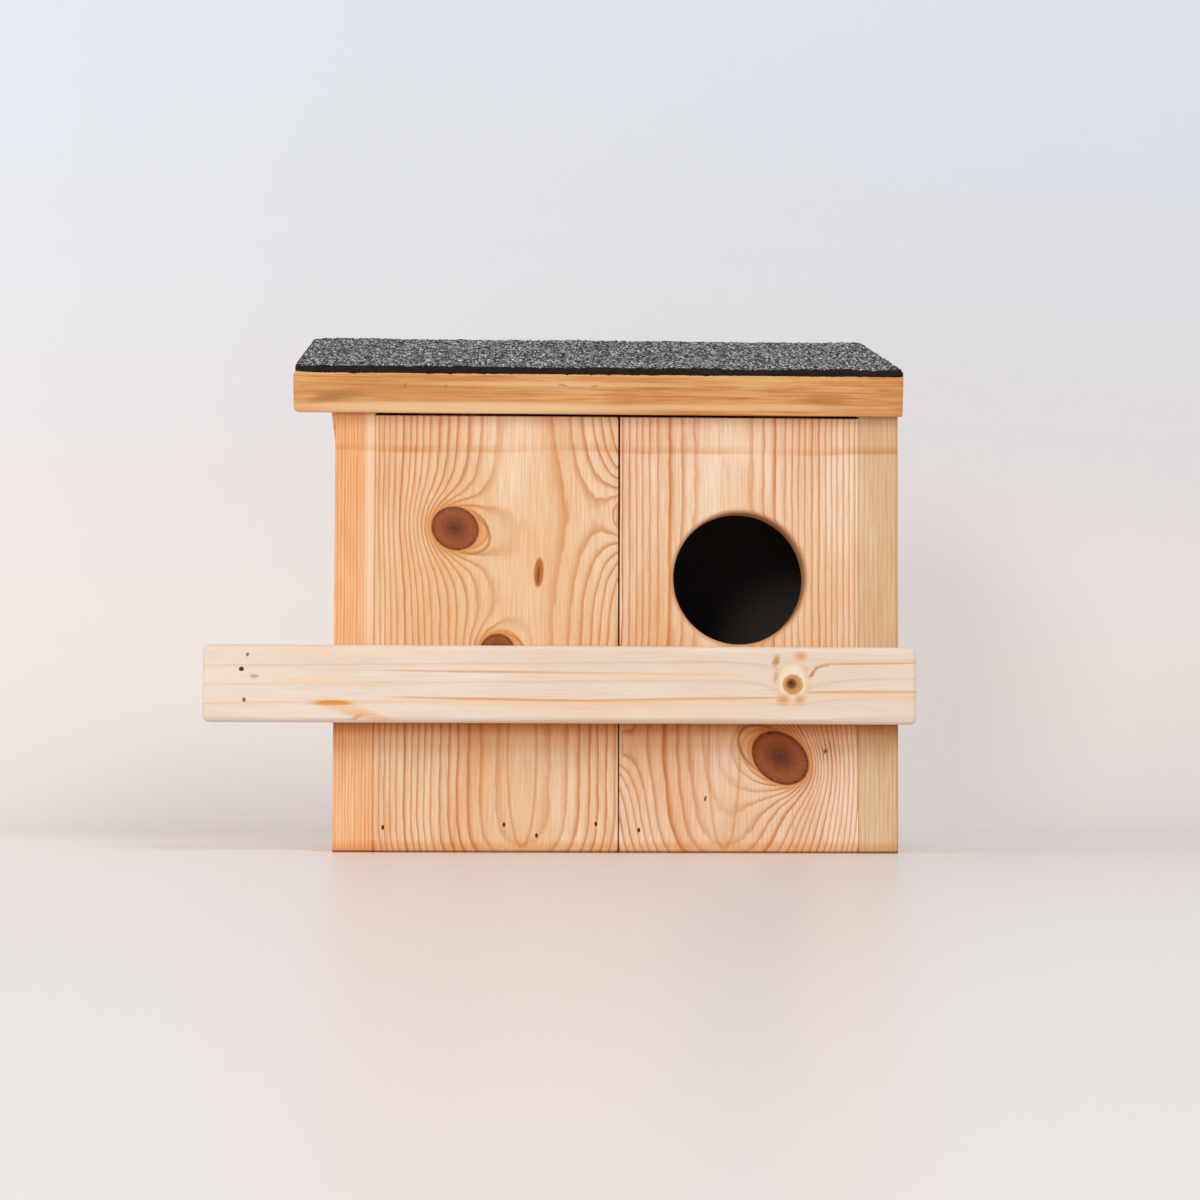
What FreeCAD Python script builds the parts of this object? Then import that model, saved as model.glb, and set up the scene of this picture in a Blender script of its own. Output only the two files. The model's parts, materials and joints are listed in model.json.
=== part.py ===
import FreeCAD, Part
import os
import math

# Nesting box of planed 20 mm softwood boards with a hinged, felt-covered roof.
# Millimetres. +X right, +Y to the rear, +Z up; the entrance faces -Y.
# Origin: centre of the box on the underside of the floor.

# ---- boards -----------------------------------------------------------------
board_t = 20.0             # thickness of every planed board
front_left_w = 121.5       # width of the left front (and back) board
front_right_w = 119.5      # width of the right front (and back) board
board_seam = 0.6           # open joint between two neighbouring boards
body_depth = 160.0         # side walls, front edge to rear edge
wall_h_front = 219.0       # side wall height at its front edge
roof_slope_deg = 12.5      # rise of the roof towards the rear
front_top_gap = 1.5        # front boards stop this far under the roof plane
back_top_gap = 0.5         # back boards stop this far under the roof plane

# ---- entrance, perch bar, hanging batten, drainage ---------------------------
entrance_d = 66.0
entrance_z = 136.8         # centre height of the entrance
bar_h = 38.0
bar_t = 20.0
bar_z0 = 64.1              # underside of the perch bar
bar_reach_left = 62.9      # bar runs past the left wall by this much
bar_reach_right = 6.4      # and past the right wall by this much
bar_arris = 2.5            # rounding of the bar's edges
batten_h = 38.0
batten_t = 30.0            # deep enough to keep the opening roof off a wall
batten_drop = 14.47        # batten's top under the top of the back
batten_reach_left = 11.2   # at the top of the left end
batten_reach_right = 6.6
batten_end_slant = 5.1     # the left end is cut this far out of square
mount_hole_d = 5.5
mount_spacing = 200.0
drain_d = 8.0
drain_inset_x = 25.0       # drainage holes, in from the floor's side edges
drain_inset_y = 20.0       # and in from its front and rear edges

# ---- roof ---------------------------------------------------------------------
roof_over_front = 5.0
roof_over_left = 20.6
roof_over_right = 1.7
roof_front_share = 0.716    # front roof board's share of the roof's run
felt_t = 3.5
felt_inset = 1.0           # felt stops this far inside the roof's edges
felt_corner = 7.0
cleat_w = 30.0
cleat_t = 18.0
cleat_x = 85.0             # centre of each cleat from the middle of the box
cleat_clear_rear = 6.0     # level gap to the back boards
cleat_clear_front = 8.0    # level gap to the front boards, for the swing

# ---- hinges -------------------------------------------------------------------
hinge_x = 75.0             # centre of each hinge from the middle of the box
hinge_len = 50.0
knuckle_n = 5
knuckle_gap = 0.25         # end gap between neighbouring knuckles
knuckle_r = 2.8
hinge_pin_r = 1.45
pin_clear = 0.05           # running clearance of the pin in its knuckles
pin_head_r = 2.3
pin_head_t = 0.7
leaf_t = 1.2
leaf_len = 13.0            # leaf, from the pin's centre to its free edge
leaf_stand_off = 0.3       # knuckles stay this far off the wood
leaf_relief = 0.4          # a leaf stays this far off the other's knuckles
leaf_screw_drop = 8.5      # leaf screws, from the pin's centre
leaf_screw_x = 16.0        # leaf screws, either side of the hinge's middle

# ---- fasteners ------------------------------------------------------------------
brad_r = 0.9
brad_head_r = 1.3
brad_head_t = 1.0
brad_len = 45.0
wood_screw_r = 1.9
wood_screw_head_r = 4.0
wood_screw_head_t = 2.6
leaf_screw_r = 1.45
leaf_screw_head_r = 2.7
leaf_screw_len = 16.0
leaf_hole_clear = 0.12     # leaf hole over the screw, all the way down its cone
slot_w = 0.8
bar_screw_len = 35.0
batten_screw_len = 45.0
cleat_screw_len = 32.0
# front brads were driven by eye: distance in from the board's left edge, height
front_brads_left = ((5.0, 12.2), (65.0, 13.7), (81.2, 8.4), (110.6, 14.2))
front_brads_right = ((9.9, 11.2),)
back_brad_x = (-80.0, -30.0, 30.0, 80.0)
side_brad_heights = (0.16, 0.50, 0.84)  # as shares of the front height
side_brad_floor_y = (-25.0, 25.0)
bar_screw_side = 26.0      # outer bar screws, in from the side walls
bar_screw_mid = 28.0       # inner bar screws, either side of the middle
batten_screw_x = (-60.0, -20.0, 20.0, 60.0)
cleat_screw_end = 12.0     # end screws of a cleat, in from its ends

# ---- derived ----------------------------------------------------------------------
slope = math.radians(roof_slope_deg)
inner_w = front_left_w + board_seam + front_right_w
half_in = inner_w / 2
half_w = half_in + board_t
y_front = -body_depth / 2
y_rear = body_depth / 2
y_in_front = y_front + board_t
y_in_rear = y_rear - board_t
wall_h_rear = wall_h_front + body_depth * math.tan(slope)
seam_x0 = -half_in + front_left_w
seam_x1 = seam_x0 + board_seam
entrance_x = (seam_x1 + half_in) / 2
roof_run = (body_depth + roof_over_front) / math.cos(slope)
roof_split = roof_run * (1 - roof_front_share)
roof_x0 = -half_w - roof_over_left
roof_x1 = half_w + roof_over_right
hinge_c = knuckle_r + leaf_stand_off
hinge_y = y_rear + hinge_c
hinge_z = wall_h_rear + hinge_c * math.tan(slope / 2)
bar_z = bar_z0 + bar_h / 2
batten_z1 = wall_h_rear - batten_drop
batten_z0 = batten_z1 - batten_h
batten_z = (batten_z0 + batten_z1) / 2
cleat_rear = (board_t + cleat_clear_rear) / math.cos(slope)
cleat_front = (body_depth - board_t - cleat_clear_front) / math.cos(slope)
y_batten = y_rear + batten_t

V = FreeCAD.Vector
UP = V(0, 0, 1)
RIGHT = V(1, 0, 0)
REAR = V(0, 1, 0)
OVERCUT = 1.0              # cutters run past the faces they cut by this much


def block(x0, x1, y0, y1, z0, z1):
    """Box between two corners."""
    return Part.makeBox(x1 - x0, y1 - y0, z1 - z0, V(x0, y0, z0))


def rod(radius, start, axis, length):
    """Solid cylinder from a start point along an axis."""
    return Part.makeCylinder(radius, length, start, axis)


def profile_x(points, x0, x1):
    """Polygon given in the YZ plane, extruded from x0 to x1."""
    corners = [V(x0, y, z) for y, z in points]
    wire = Part.makePolygon(corners + corners[:1])
    return Part.Face(wire).extrude(V(x1 - x0, 0, 0))


def under_roof(y, gap=0.0):
    """Height of the roof's underside above a given y, less a gap."""
    return wall_h_front + (y - y_front) * math.tan(slope) - gap


def tilt(shape):
    """Lay a shape drawn on a level roof onto the slope.

    The level roof has its rear lower edge on y_rear, wall_h_rear.
    """
    laid = shape.copy()
    laid.rotate(V(0, y_rear, wall_h_rear), RIGHT, roof_slope_deg)
    return laid


def mirror_x(shape):
    """The same shape on the other side of the box."""
    return shape.mirror(V(0, 0, 0), RIGHT)


# ---- box --------------------------------------------------------------------------
def side_wall(x0):
    """Full-depth side wall with its top cut to the roof slope."""
    outline = [(y_front, 0), (y_rear, 0), (y_rear, wall_h_rear), (y_front, wall_h_front)]
    return profile_x(outline, x0, x0 + board_t)


def front_board(x0, x1):
    """Square-topped board between the side walls."""
    return block(x0, x1, y_front, y_in_front, 0, wall_h_front - front_top_gap)


def front_board_with_entrance(x0, x1):
    """Front board bored for the entrance."""
    start = V(entrance_x, y_front - OVERCUT, entrance_z)
    bore = rod(entrance_d / 2, start, REAR, board_t + 2 * OVERCUT)
    return front_board(x0, x1).cut(bore)


def back_board(x0, x1):
    """Board with its top bevelled to the roof slope and one mounting hole."""
    outline = [
        (y_in_rear, 0),
        (y_rear, 0),
        (y_rear, under_roof(y_rear, back_top_gap)),
        (y_in_rear, under_roof(y_in_rear, back_top_gap)),
    ]
    board = profile_x(outline, x0, x1)
    return board.cut(mount_bores())


def mount_bores():
    """Both mounting holes, through back boards and batten."""
    run = board_t + batten_t + 2 * OVERCUT
    bores = []
    for x in (-mount_spacing / 2, mount_spacing / 2):
        start = V(x, y_in_rear - OVERCUT, batten_z)
        bores.append(rod(mount_hole_d / 2, start, REAR, run))
    return Part.makeCompound(bores)


def floor_board():
    """Floor inset between the walls, with four drainage holes."""
    board = block(-half_in, half_in, y_in_front, y_in_rear, 0, board_t)
    dx = half_in - drain_inset_x
    dy = y_in_rear - drain_inset_y
    for x, y in ((-dx, -dy), (dx, -dy), (-dx, dy), (dx, dy)):
        start = V(x, y, -OVERCUT)
        board = board.cut(rod(drain_d / 2, start, UP, board_t + 2 * OVERCUT))
    return board


def perch_bar():
    """Round-edged bar across the front, longer on the left."""
    x0 = -half_w - bar_reach_left
    x1 = half_w + bar_reach_right
    bar = block(x0, x1, y_front - bar_t, y_front, bar_z0, bar_z0 + bar_h)
    return bar.makeFillet(bar_arris, bar.Edges)


def hanging_batten():
    """Batten across the rear, left end out of square, two mounting holes."""
    x0 = -half_w - batten_reach_left
    x1 = half_w + batten_reach_right
    corners = [
        V(x0 + batten_end_slant, y_rear, batten_z0),
        V(x1, y_rear, batten_z0),
        V(x1, y_rear, batten_z1),
        V(x0, y_rear, batten_z1),
    ]
    wire = Part.makePolygon(corners + corners[:1])
    batten = Part.Face(wire).extrude(V(0, batten_t, 0))
    return batten.cut(mount_bores())


# ---- fasteners -------------------------------------------------------------------
def brad(start, axis):
    """Wire nail driven flush, head at the start point."""
    shank = rod(brad_r, start, axis, brad_len)
    return shank.fuse(rod(brad_head_r, start, axis, brad_head_t))


def screw(start, axis, radius, head_r, head_t, length):
    """Slotted countersunk screw, head flush at the start point."""
    cone = Part.makeCone(head_r, radius, head_t, start, axis)
    body = rod(radius, start, axis, length).fuse(cone)
    depth = head_t / 2
    slot = Part.makeBox(2 * head_r, slot_w, 2 * depth, V(-head_r, -slot_w / 2, -depth))
    slot.Placement = FreeCAD.Placement(start, FreeCAD.Rotation(UP, axis))
    return body.cut(slot)


def wood_screw(start, axis, length):
    """The larger screw, for bar, batten and cleats."""
    return screw(start, axis, wood_screw_r, wood_screw_head_r, wood_screw_head_t, length)


def bar_screws():
    """Four screws from inside the box, through the front boards into the bar."""
    outer = half_in - bar_screw_side
    xs = (-outer, -bar_screw_mid, bar_screw_mid, outer)
    return [wood_screw(V(x, y_in_front, bar_z), -REAR, bar_screw_len) for x in xs]


def batten_screws():
    """Four screws from the rear, through the batten into the back boards."""
    starts = [V(x, y_batten, batten_z) for x in batten_screw_x]
    return [wood_screw(start, -REAR, batten_screw_len) for start in starts]


def front_brads():
    """Brads through the front boards into the floor."""
    spots = [(x - half_in, z) for x, z in front_brads_left]
    spots += [(x + seam_x1, z) for x, z in front_brads_right]
    return [brad(V(x, y_front, z), REAR) for x, z in spots]


def back_brads():
    """Brads through the back boards into the floor."""
    return [brad(V(x, y_rear, board_t / 2), -REAR) for x in back_brad_x]


def side_brads():
    """Brads through the left wall into front board, back board and floor."""
    heights = [share * wall_h_front for share in side_brad_heights]
    spots = [(y_front + board_t / 2, z) for z in heights]
    spots += [(y_rear - board_t / 2, z) for z in heights]
    spots += [(y, board_t / 2) for y in side_brad_floor_y]
    return [brad(V(-half_w, y, z), RIGHT) for y, z in spots]


# ---- roof, drawn level on the rear edge and then tilted -----------------------------
def roof_board(run0, run1):
    """Roof board between two distances from the rear edge."""
    top = wall_h_rear + board_t
    return tilt(block(roof_x0, roof_x1, y_rear - run1, y_rear - run0, wall_h_rear, top))


def roofing_felt():
    """Felt sheet over both roof boards, with rounded corners."""
    z0 = wall_h_rear + board_t
    x0 = roof_x0 + felt_inset
    x1 = roof_x1 - felt_inset
    y0 = y_rear - roof_run + felt_inset
    sheet = block(x0, x1, y0, y_rear - felt_inset, z0, z0 + felt_t)
    upright = [e for e in sheet.Edges if abs(e.Vertexes[0].Z - e.Vertexes[1].Z) > felt_t / 2]
    return tilt(sheet.makeFillet(felt_corner, upright))


def roof_cleat():
    """Cleat under the left half of the roof, joining its two boards."""
    y0 = y_rear - cleat_front
    y1 = y_rear - cleat_rear
    x0 = -cleat_x - cleat_w / 2
    return tilt(block(x0, x0 + cleat_w, y0, y1, wall_h_rear - cleat_t, wall_h_rear))


def cleat_screws():
    """Three screws up through each cleat: one in the rear board, two in the front."""
    screws = []
    first = cleat_rear + cleat_screw_end
    last = cleat_front - cleat_screw_end
    for x in (-cleat_x, cleat_x):
        for run in (first, (first + last) / 2, last):
            start = V(x, y_rear - run, wall_h_rear - cleat_t)
            screws.append(tilt(wood_screw(start, UP, cleat_screw_len)))
    return screws


# ---- hinge, drawn with its pin on the X axis and its leaf hanging down ---------------
def knuckle_spans(first):
    """Start and end of every second knuckle, counted from the given one."""
    pitch = hinge_len / knuckle_n
    starts = [-hinge_len / 2 + i * pitch for i in range(first, knuckle_n, 2)]
    return [(x + knuckle_gap / 2, x + pitch - knuckle_gap / 2) for x in starts]


def leaf(first_knuckle):
    """Leaf with its own knuckles, relieved where the other leaf's run."""
    y0 = -hinge_c
    half = hinge_len / 2
    plate = block(-half, half, y0, y0 + leaf_t, -leaf_len, -knuckle_r - leaf_relief)
    for x0, x1 in knuckle_spans(first_knuckle):
        # y0 lies outside the knuckle, so the neck starts on the leaf's face
        neck = block(x0, x1, y0, y0 + leaf_t, -knuckle_r - leaf_relief, 0)
        barrel = rod(knuckle_r, V(x0, 0, 0), RIGHT, x1 - x0)
        plate = plate.fuse(neck).fuse(barrel)
    bore = rod(hinge_pin_r + pin_clear, V(-hinge_len, 0, 0), RIGHT, 2 * hinge_len)
    plate = plate.cut(bore)
    for x in (-leaf_screw_x, leaf_screw_x):
        start = V(x, y0 + leaf_t, -leaf_screw_drop)
        wide = leaf_screw_head_r + leaf_hole_clear
        narrow = leaf_screw_r + leaf_hole_clear
        plate = plate.cut(Part.makeCone(wide, narrow, leaf_t, start, -REAR))
    return plate.removeSplitter()


def leaf_screws():
    """The two countersunk screws of one leaf."""
    screws = []
    for x in (-leaf_screw_x, leaf_screw_x):
        start = V(x, -hinge_c + leaf_t, -leaf_screw_drop)
        one = screw(start, -REAR, leaf_screw_r, leaf_screw_head_r, leaf_t, leaf_screw_len)
        screws.append(one)
    return Part.makeCompound(screws)


def hinge_pin():
    """Pin with a flat head at each end, just clear of the end knuckles."""
    half = hinge_len / 2
    pin = rod(hinge_pin_r, V(-half, 0, 0), RIGHT, hinge_len)
    for x0 in (-half - pin_head_t, half):
        pin = pin.fuse(rod(pin_head_r, V(x0, 0, 0), RIGHT, pin_head_t))
    return pin


def on_wall(shape, side):
    """Place a hinge piece on the back boards; side is -1 left or +1 right."""
    placed = shape.copy()
    placed.translate(V(side * hinge_x, hinge_y, hinge_z))
    return placed


def on_roof(shape, side):
    """Place a hinge piece on the roof's rear edge, leaf turned upwards."""
    placed = shape.mirror(V(0, 0, 0), UP)
    placed.rotate(V(0, 0, 0), RIGHT, roof_slope_deg)
    placed.translate(V(side * hinge_x, hinge_y, hinge_z))
    return placed


# ---- nodes --------------------------------------------------------------------------
nodes = {
    "side_wall_left": side_wall(-half_w),
    "side_wall_right": side_wall(half_in),
    "front_board_left": front_board(-half_in, seam_x0),
    "front_board_right": front_board_with_entrance(seam_x1, half_in),
    "back_board_left": back_board(-half_in, seam_x0),
    "back_board_right": back_board(seam_x1, half_in),
    "floor_board": floor_board(),
    "perch_bar": perch_bar(),
    "hanging_batten": hanging_batten(),
    "bar_screws": Part.makeCompound(bar_screws()),
    "batten_screws": Part.makeCompound(batten_screws()),
    "front_brads": Part.makeCompound(front_brads()),
    "back_brads": Part.makeCompound(back_brads()),
    "side_brads_left": Part.makeCompound(side_brads()),
    "side_brads_right": mirror_x(Part.makeCompound(side_brads())),
    "roof_board_front": roof_board(roof_split, roof_run),
    "roof_board_rear": roof_board(0, roof_split),
    "roofing_felt": roofing_felt(),
    "roof_cleat_left": roof_cleat(),
    "roof_cleat_right": mirror_x(roof_cleat()),
    "cleat_screws": Part.makeCompound(cleat_screws()),
}
for side, name in ((-1, "left"), (1, "right")):
    nodes["hinge_wall_leaf_" + name] = on_wall(leaf(0), side)
    nodes["hinge_pin_" + name] = on_wall(hinge_pin(), side)
    nodes["hinge_wall_screws_" + name] = on_wall(leaf_screws(), side)
    nodes["hinge_roof_leaf_" + name] = on_roof(leaf(1), side)
    nodes["hinge_roof_screws_" + name] = on_roof(leaf_screws(), side)

os.makedirs("parts", exist_ok=True)
for name, shape in nodes.items():
    shape.exportStep("parts/" + name + ".step")
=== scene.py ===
"""Looks for a nesting box of planed pine boards with a hinged, felt-covered roof."""

import json
import math
from functools import partial

import bmesh
import bpy
import numpy as np
from mathutils import Matrix, Vector


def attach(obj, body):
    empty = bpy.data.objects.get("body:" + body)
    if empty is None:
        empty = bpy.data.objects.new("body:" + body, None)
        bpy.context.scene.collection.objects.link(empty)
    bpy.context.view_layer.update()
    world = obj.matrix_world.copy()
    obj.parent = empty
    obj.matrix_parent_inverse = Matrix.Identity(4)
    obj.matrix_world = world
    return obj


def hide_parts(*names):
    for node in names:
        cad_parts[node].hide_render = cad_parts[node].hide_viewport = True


bl_info = {
    "name": "Nesting Box",
    "version": (1, 0, 0),
    "blender": (4, 5, 0),
    "location": "View3D > Sidebar > Nesting Box",
    "description": "Boards, roofing felt, nails and stage of a pine nesting box",
    "category": "Object",
}

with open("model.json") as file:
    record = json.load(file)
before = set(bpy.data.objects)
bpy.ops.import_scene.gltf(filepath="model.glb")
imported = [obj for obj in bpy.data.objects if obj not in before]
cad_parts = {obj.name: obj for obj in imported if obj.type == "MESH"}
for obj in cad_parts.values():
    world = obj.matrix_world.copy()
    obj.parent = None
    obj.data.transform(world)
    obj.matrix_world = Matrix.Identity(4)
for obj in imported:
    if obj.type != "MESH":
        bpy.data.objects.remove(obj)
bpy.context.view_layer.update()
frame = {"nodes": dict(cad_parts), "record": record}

MM = 0.001
RECORD = frame["record"]


# ---- places read from the frame, in millimetres --------------------------------------
def node_points(name):
    """All corners of a CAD node, in millimetres, one row each."""
    mesh = frame["nodes"][name].data
    flat = np.zeros(len(mesh.vertices) * 3)
    mesh.vertices.foreach_get("co", flat)
    return flat.reshape(-1, 3) / MM


def node_box(name):
    """Lowest and highest corner of a CAD node, in millimetres."""
    points = node_points(name)
    return points.min(0), points.max(0)


def clusters(points, gap):
    """Means of the groups of points that lie further apart than gap."""
    groups = []
    for point in points:
        near = [g for g in groups if np.linalg.norm(g[0] - point) < gap]
        if near:
            near[0].append(point)
        else:
            groups.append([point])
    return [np.mean(g, axis=0) for g in groups]


def named(rows, name):
    """The one of the record's rows that has this name."""
    return next(row for row in rows if row["name"] == name)


FLOOR_HI = node_box("floor_board")[1]
BAR_UNDERSIDE = node_box("perch_bar")[0][2]
WALL_LO, WALL_HI = node_box("side_wall_left")
BOARD_T = WALL_HI[0] - WALL_LO[0]
HALF_IN = FLOOR_HI[0]
Y_FRONT, Y_REAR = WALL_LO[1], WALL_HI[1]
WALL_POINTS = node_points("side_wall_left")
FRONT_H = WALL_POINTS[WALL_POINTS[:, 1] < Y_FRONT + 1][:, 2].max()
REAR_H = WALL_HI[2]
SLOPE = math.atan2(REAR_H - FRONT_H, Y_REAR - Y_FRONT)
ENTRANCE_BOX = np.array(named(RECORD["physics"]["openings"], "entrance")["box_m"]) / MM
ENTRANCE = (ENTRANCE_BOX[0] + ENTRANCE_BOX[1]) / 2
ENTRANCE_POINTS = node_points("front_board_right")[:, [0, 2]] - ENTRANCE[[0, 2]]
ENTRANCE_R = np.linalg.norm(ENTRANCE_POINTS, axis=1).min()
HANG = named(RECORD["mounts"], "hang_holes")
HANG_AT = np.array(HANG["pos_m"]) / MM
HANG_HALF = HANG["dims"]["spacing_x_mm"] / 2
HANG_R = HANG["dims"]["hole_r_mm"]
MARGIN = 0.05              # tests and masks reach this far over a face


# ---- settings a user would change ----------------------------------------------------
class BoardSettings(bpy.types.PropertyGroup):
    """Edges and marks of the boards."""
    arris: bpy.props.FloatProperty(
        name="Arris", description="Rounding of the boards' long edges in millimetres",
        default=0.7, min=0.1, max=3.0)
    bar_arris: bpy.props.FloatProperty(
        name="Bar arris", description="Rounding of the perch bar's edges in millimetres",
        default=2.8, min=0.5, max=6.0)
    entrance_arris: bpy.props.FloatProperty(
        name="Entrance arris", description="Sanded edge of the entrance in millimetres",
        default=1.9, min=0.2, max=4.0)
    ring_mm: bpy.props.FloatProperty(
        name="Ring width", description="Mean width of a growth ring in millimetres",
        default=2.4, min=0.8, max=8.0)
    early: bpy.props.StringProperty(
        name="Early wood", description="Pale spring wood as a hex colour", default="F0D5B6")
    late: bpy.props.StringProperty(
        name="Late wood", description="Darker summer wood as a hex colour", default="CA7A2C")


class FeltSettings(bpy.types.PropertyGroup):
    """Roofing felt."""
    grit: bpy.props.FloatProperty(
        name="Grit", description="Width of one mineral chip in millimetres",
        default=1.5, min=0.5, max=3.0)
    relief: bpy.props.FloatProperty(
        name="Relief", description="Height of the mineral chips in millimetres",
        default=0.75, min=0.1, max=1.0)
    seed: bpy.props.IntProperty(name="Seed", description="Scatter of the mineral chips", default=7)


class StageSettings(bpy.types.PropertyGroup):
    """Floor, light and camera."""
    key_watts: bpy.props.FloatProperty(
        name="Key light", description="Power of the large soft light at the right front",
        default=51.0, min=0.0, unit="POWER")
    fill_watts: bpy.props.FloatProperty(
        name="Fill light", description="Power of the light at the left front",
        default=17.5, min=0.0, unit="POWER")
    world: bpy.props.FloatProperty(
        name="Room light", description="Strength of the even light from all sides",
        default=0.48, min=0.0)
    wall_watts: bpy.props.FloatProperty(
        name="Wall light", description="Power of the small light on the backdrop at the left",
        default=4.2, min=0.0, unit="POWER")
    distance: bpy.props.FloatProperty(
        name="Camera distance", description="From the camera to the box's front",
        default=1.450, min=0.5, unit="LENGTH")
    lens: bpy.props.FloatProperty(
        name="Lens", description="Focal length in millimetres on a 36 mm wide sensor",
        default=87.4, min=20.0, unit="CAMERA")


# ---- meshes --------------------------------------------------------------------------
def new_object(name, data):
    """Object in the scene around a mesh, a light or a camera."""
    made = bpy.data.objects.new(name, data)
    bpy.context.scene.collection.objects.link(made)
    return made


def mesh_object(name, points, faces, smooth):
    """Mesh object from points in millimetres; smooth is a flag for each face."""
    mesh = bpy.data.meshes.new(name)
    mesh.from_pydata((points * MM).tolist(), [], faces)
    mesh.polygons.foreach_set("use_smooth", np.asarray(smooth, bool))
    mesh.update()
    return new_object(name, mesh)


def make_piece(name, points, faces, smooth, body, replaces):
    """Piece that rides on a body and stands for CAD nodes, which it hides."""
    piece = mesh_object(name, points, faces, smooth)
    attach(piece, body)
    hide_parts(*replaces)
    return piece


def band_faces(rows, columns, start=0, wrap_rows=False):
    """Quads between neighbouring closed rows of points, each row a loop."""
    row = np.arange(rows if wrap_rows else rows - 1)[:, None]
    column = np.arange(columns)[None, :]
    following = (column + 1) % columns
    above = (row + 1) % rows
    quads = np.stack([row * columns + column, row * columns + following,
                      above * columns + following, above * columns + column], axis=-1)
    return (quads.reshape(-1, 4) + start).tolist()


def loft_faces(rows, columns):
    """Faces of a closed solid of rows of points: its sides, then its two end caps."""
    last = (rows - 1) * columns
    caps = [list(range(columns))[::-1], list(range(last, last + columns))]
    return band_faces(rows, columns) + caps


def face_outwards(piece):
    """Recalculate the normals of a closed mesh so that they point outwards."""
    work = bmesh.new()
    work.from_mesh(piece.data)
    bmesh.ops.recalc_face_normals(work, faces=work.faces)
    work.to_mesh(piece.data)
    work.free()


CORNER_STEPS = 6           # points on each rounded corner of an outline


def outline(corners, radii, inset, steps=CORNER_STEPS):
    """Convex outline moved inwards by inset, its corners arcs of radius minus inset.

    Each arc keeps its centre, on the corner's bisector at radius over the sine of
    the half angle, so outlines with different insets are parallel.
    """
    corners = np.asarray(corners, float)
    back = np.roll(corners, 1, 0) - corners
    ahead = np.roll(corners, -1, 0) - corners
    back /= np.linalg.norm(back, axis=1)[:, None]
    ahead /= np.linalg.norm(ahead, axis=1)[:, None]
    bisector = back + ahead
    bisector /= np.linalg.norm(bisector, axis=1)[:, None]
    half = np.arccos(np.clip((back * bisector).sum(1), -1, 1))
    radii = np.broadcast_to(radii, len(corners))
    centre = corners + bisector * (radii / np.sin(half))[:, None]
    # the arc runs from the normal of the edge behind to that of the edge ahead
    first = np.arctan2(back[:, 0], -back[:, 1])
    sweep = np.pi - 2 * half
    angle = first[:, None] + sweep[:, None] * np.linspace(0, 1, steps)[None, :]
    normal = np.stack([np.cos(angle), np.sin(angle)], -1)
    points = centre[:, None, :] + (radii - inset)[:, None, None] * normal
    return points.reshape(-1, 2)


def arris_rows(arris, thickness, steps=4):
    """(inset, depth) pairs that round both edges of a board by a quarter circle."""
    turn = np.linspace(0, math.pi / 2, steps + 1)
    near = np.stack([arris * (1 - np.sin(turn)), arris * (1 - np.cos(turn))], 1)
    far = np.stack([near[::-1, 0], thickness - near[::-1, 1]], 1)
    return np.concatenate([near, far])


def plank(node, corners, radii, arris, thickness, place, body):
    """Board for a CAD node: a rounded outline carried through its thickness, with
    rounded arrises.

    place turns outline points (n, 2) and a depth into points (n, 3).
    """
    rows = arris_rows(arris, thickness)
    loops = [place(outline(corners, radii, inset), depth) for inset, depth in rows]
    columns = len(loops[0])
    faces = loft_faces(len(loops), columns)
    # the board's straight sides and its end caps are flat, its corners and arrises smooth
    band, column = np.divmod(np.arange(len(faces)), columns)
    straight = (band == len(loops) // 2 - 1) & (column % CORNER_STEPS == CORNER_STEPS - 1)
    straight[-2:] = True
    piece = make_piece(node + "_planed", np.concatenate(loops), faces, ~straight, body, [node])
    face_outwards(piece)
    return piece


def along_x(x0):
    """Outline in the YZ plane, depth along +X from x0."""
    return lambda q, depth: np.stack([np.full(len(q), x0 + depth), q[:, 0], q[:, 1]], 1)


def facing_front(y0):
    """Outline in the XZ plane, depth along +Y from y0."""
    return lambda q, depth: np.stack([q[:, 0], np.full(len(q), y0 + depth), q[:, 1]], 1)


def rectangle(x0, x1, z0, z1):
    """Corners of a rectangle, anticlockwise."""
    return [(x0, z0), (x1, z0), (x1, z1), (x0, z1)]


def on_slope(points):
    """Points drawn on a level roof, turned about its rear lower edge onto the slope."""
    turned = points.copy()
    y, z = points[:, 1] - Y_REAR, points[:, 2] - REAR_H
    turned[:, 1] = Y_REAR + y * math.cos(SLOPE) - z * math.sin(SLOPE)
    turned[:, 2] = REAR_H + y * math.sin(SLOPE) + z * math.cos(SLOPE)
    return turned


def levelled(node):
    """Points of a roof node with the slope taken out, from the rear lower edge."""
    points = node_points(node)
    y, z = points[:, 1] - Y_REAR, points[:, 2] - REAR_H
    return np.stack([points[:, 0], y * math.cos(SLOPE) + z * math.sin(SLOPE),
                     z * math.cos(SLOPE) - y * math.sin(SLOPE)], 1)


def tube(start, axis, stations, columns=20, squeeze=1.0):
    """Closed solid of revolution about an axis: (distance along it, radius) stations.

    squeeze narrows it across the first side direction, for an oval section.
    """
    axis = Vector(axis).normalized()
    side = axis.orthogonal().normalized()
    if abs(axis.z) < 0.9:
        side = axis.cross(Vector((0, 0, 1))).normalized()
    up = axis.cross(side)
    angle = np.arange(columns) / columns * 2 * math.pi
    ring = np.outer(np.cos(angle) * squeeze, side) + np.outer(np.sin(angle), up)
    loops = [np.asarray(start) + np.asarray(axis) * along + ring * radius for along, radius in stations]
    return np.concatenate(loops), loft_faces(len(loops), columns)


def join_tubes(tubes):
    """Points and faces of several solids as one mesh."""
    points, faces = [], []
    for tube_points, tube_faces in tubes:
        start = sum(len(p) for p in points)
        points.append(tube_points)
        faces += [[i + start for i in face] for face in tube_faces]
    return np.concatenate(points), faces


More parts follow.
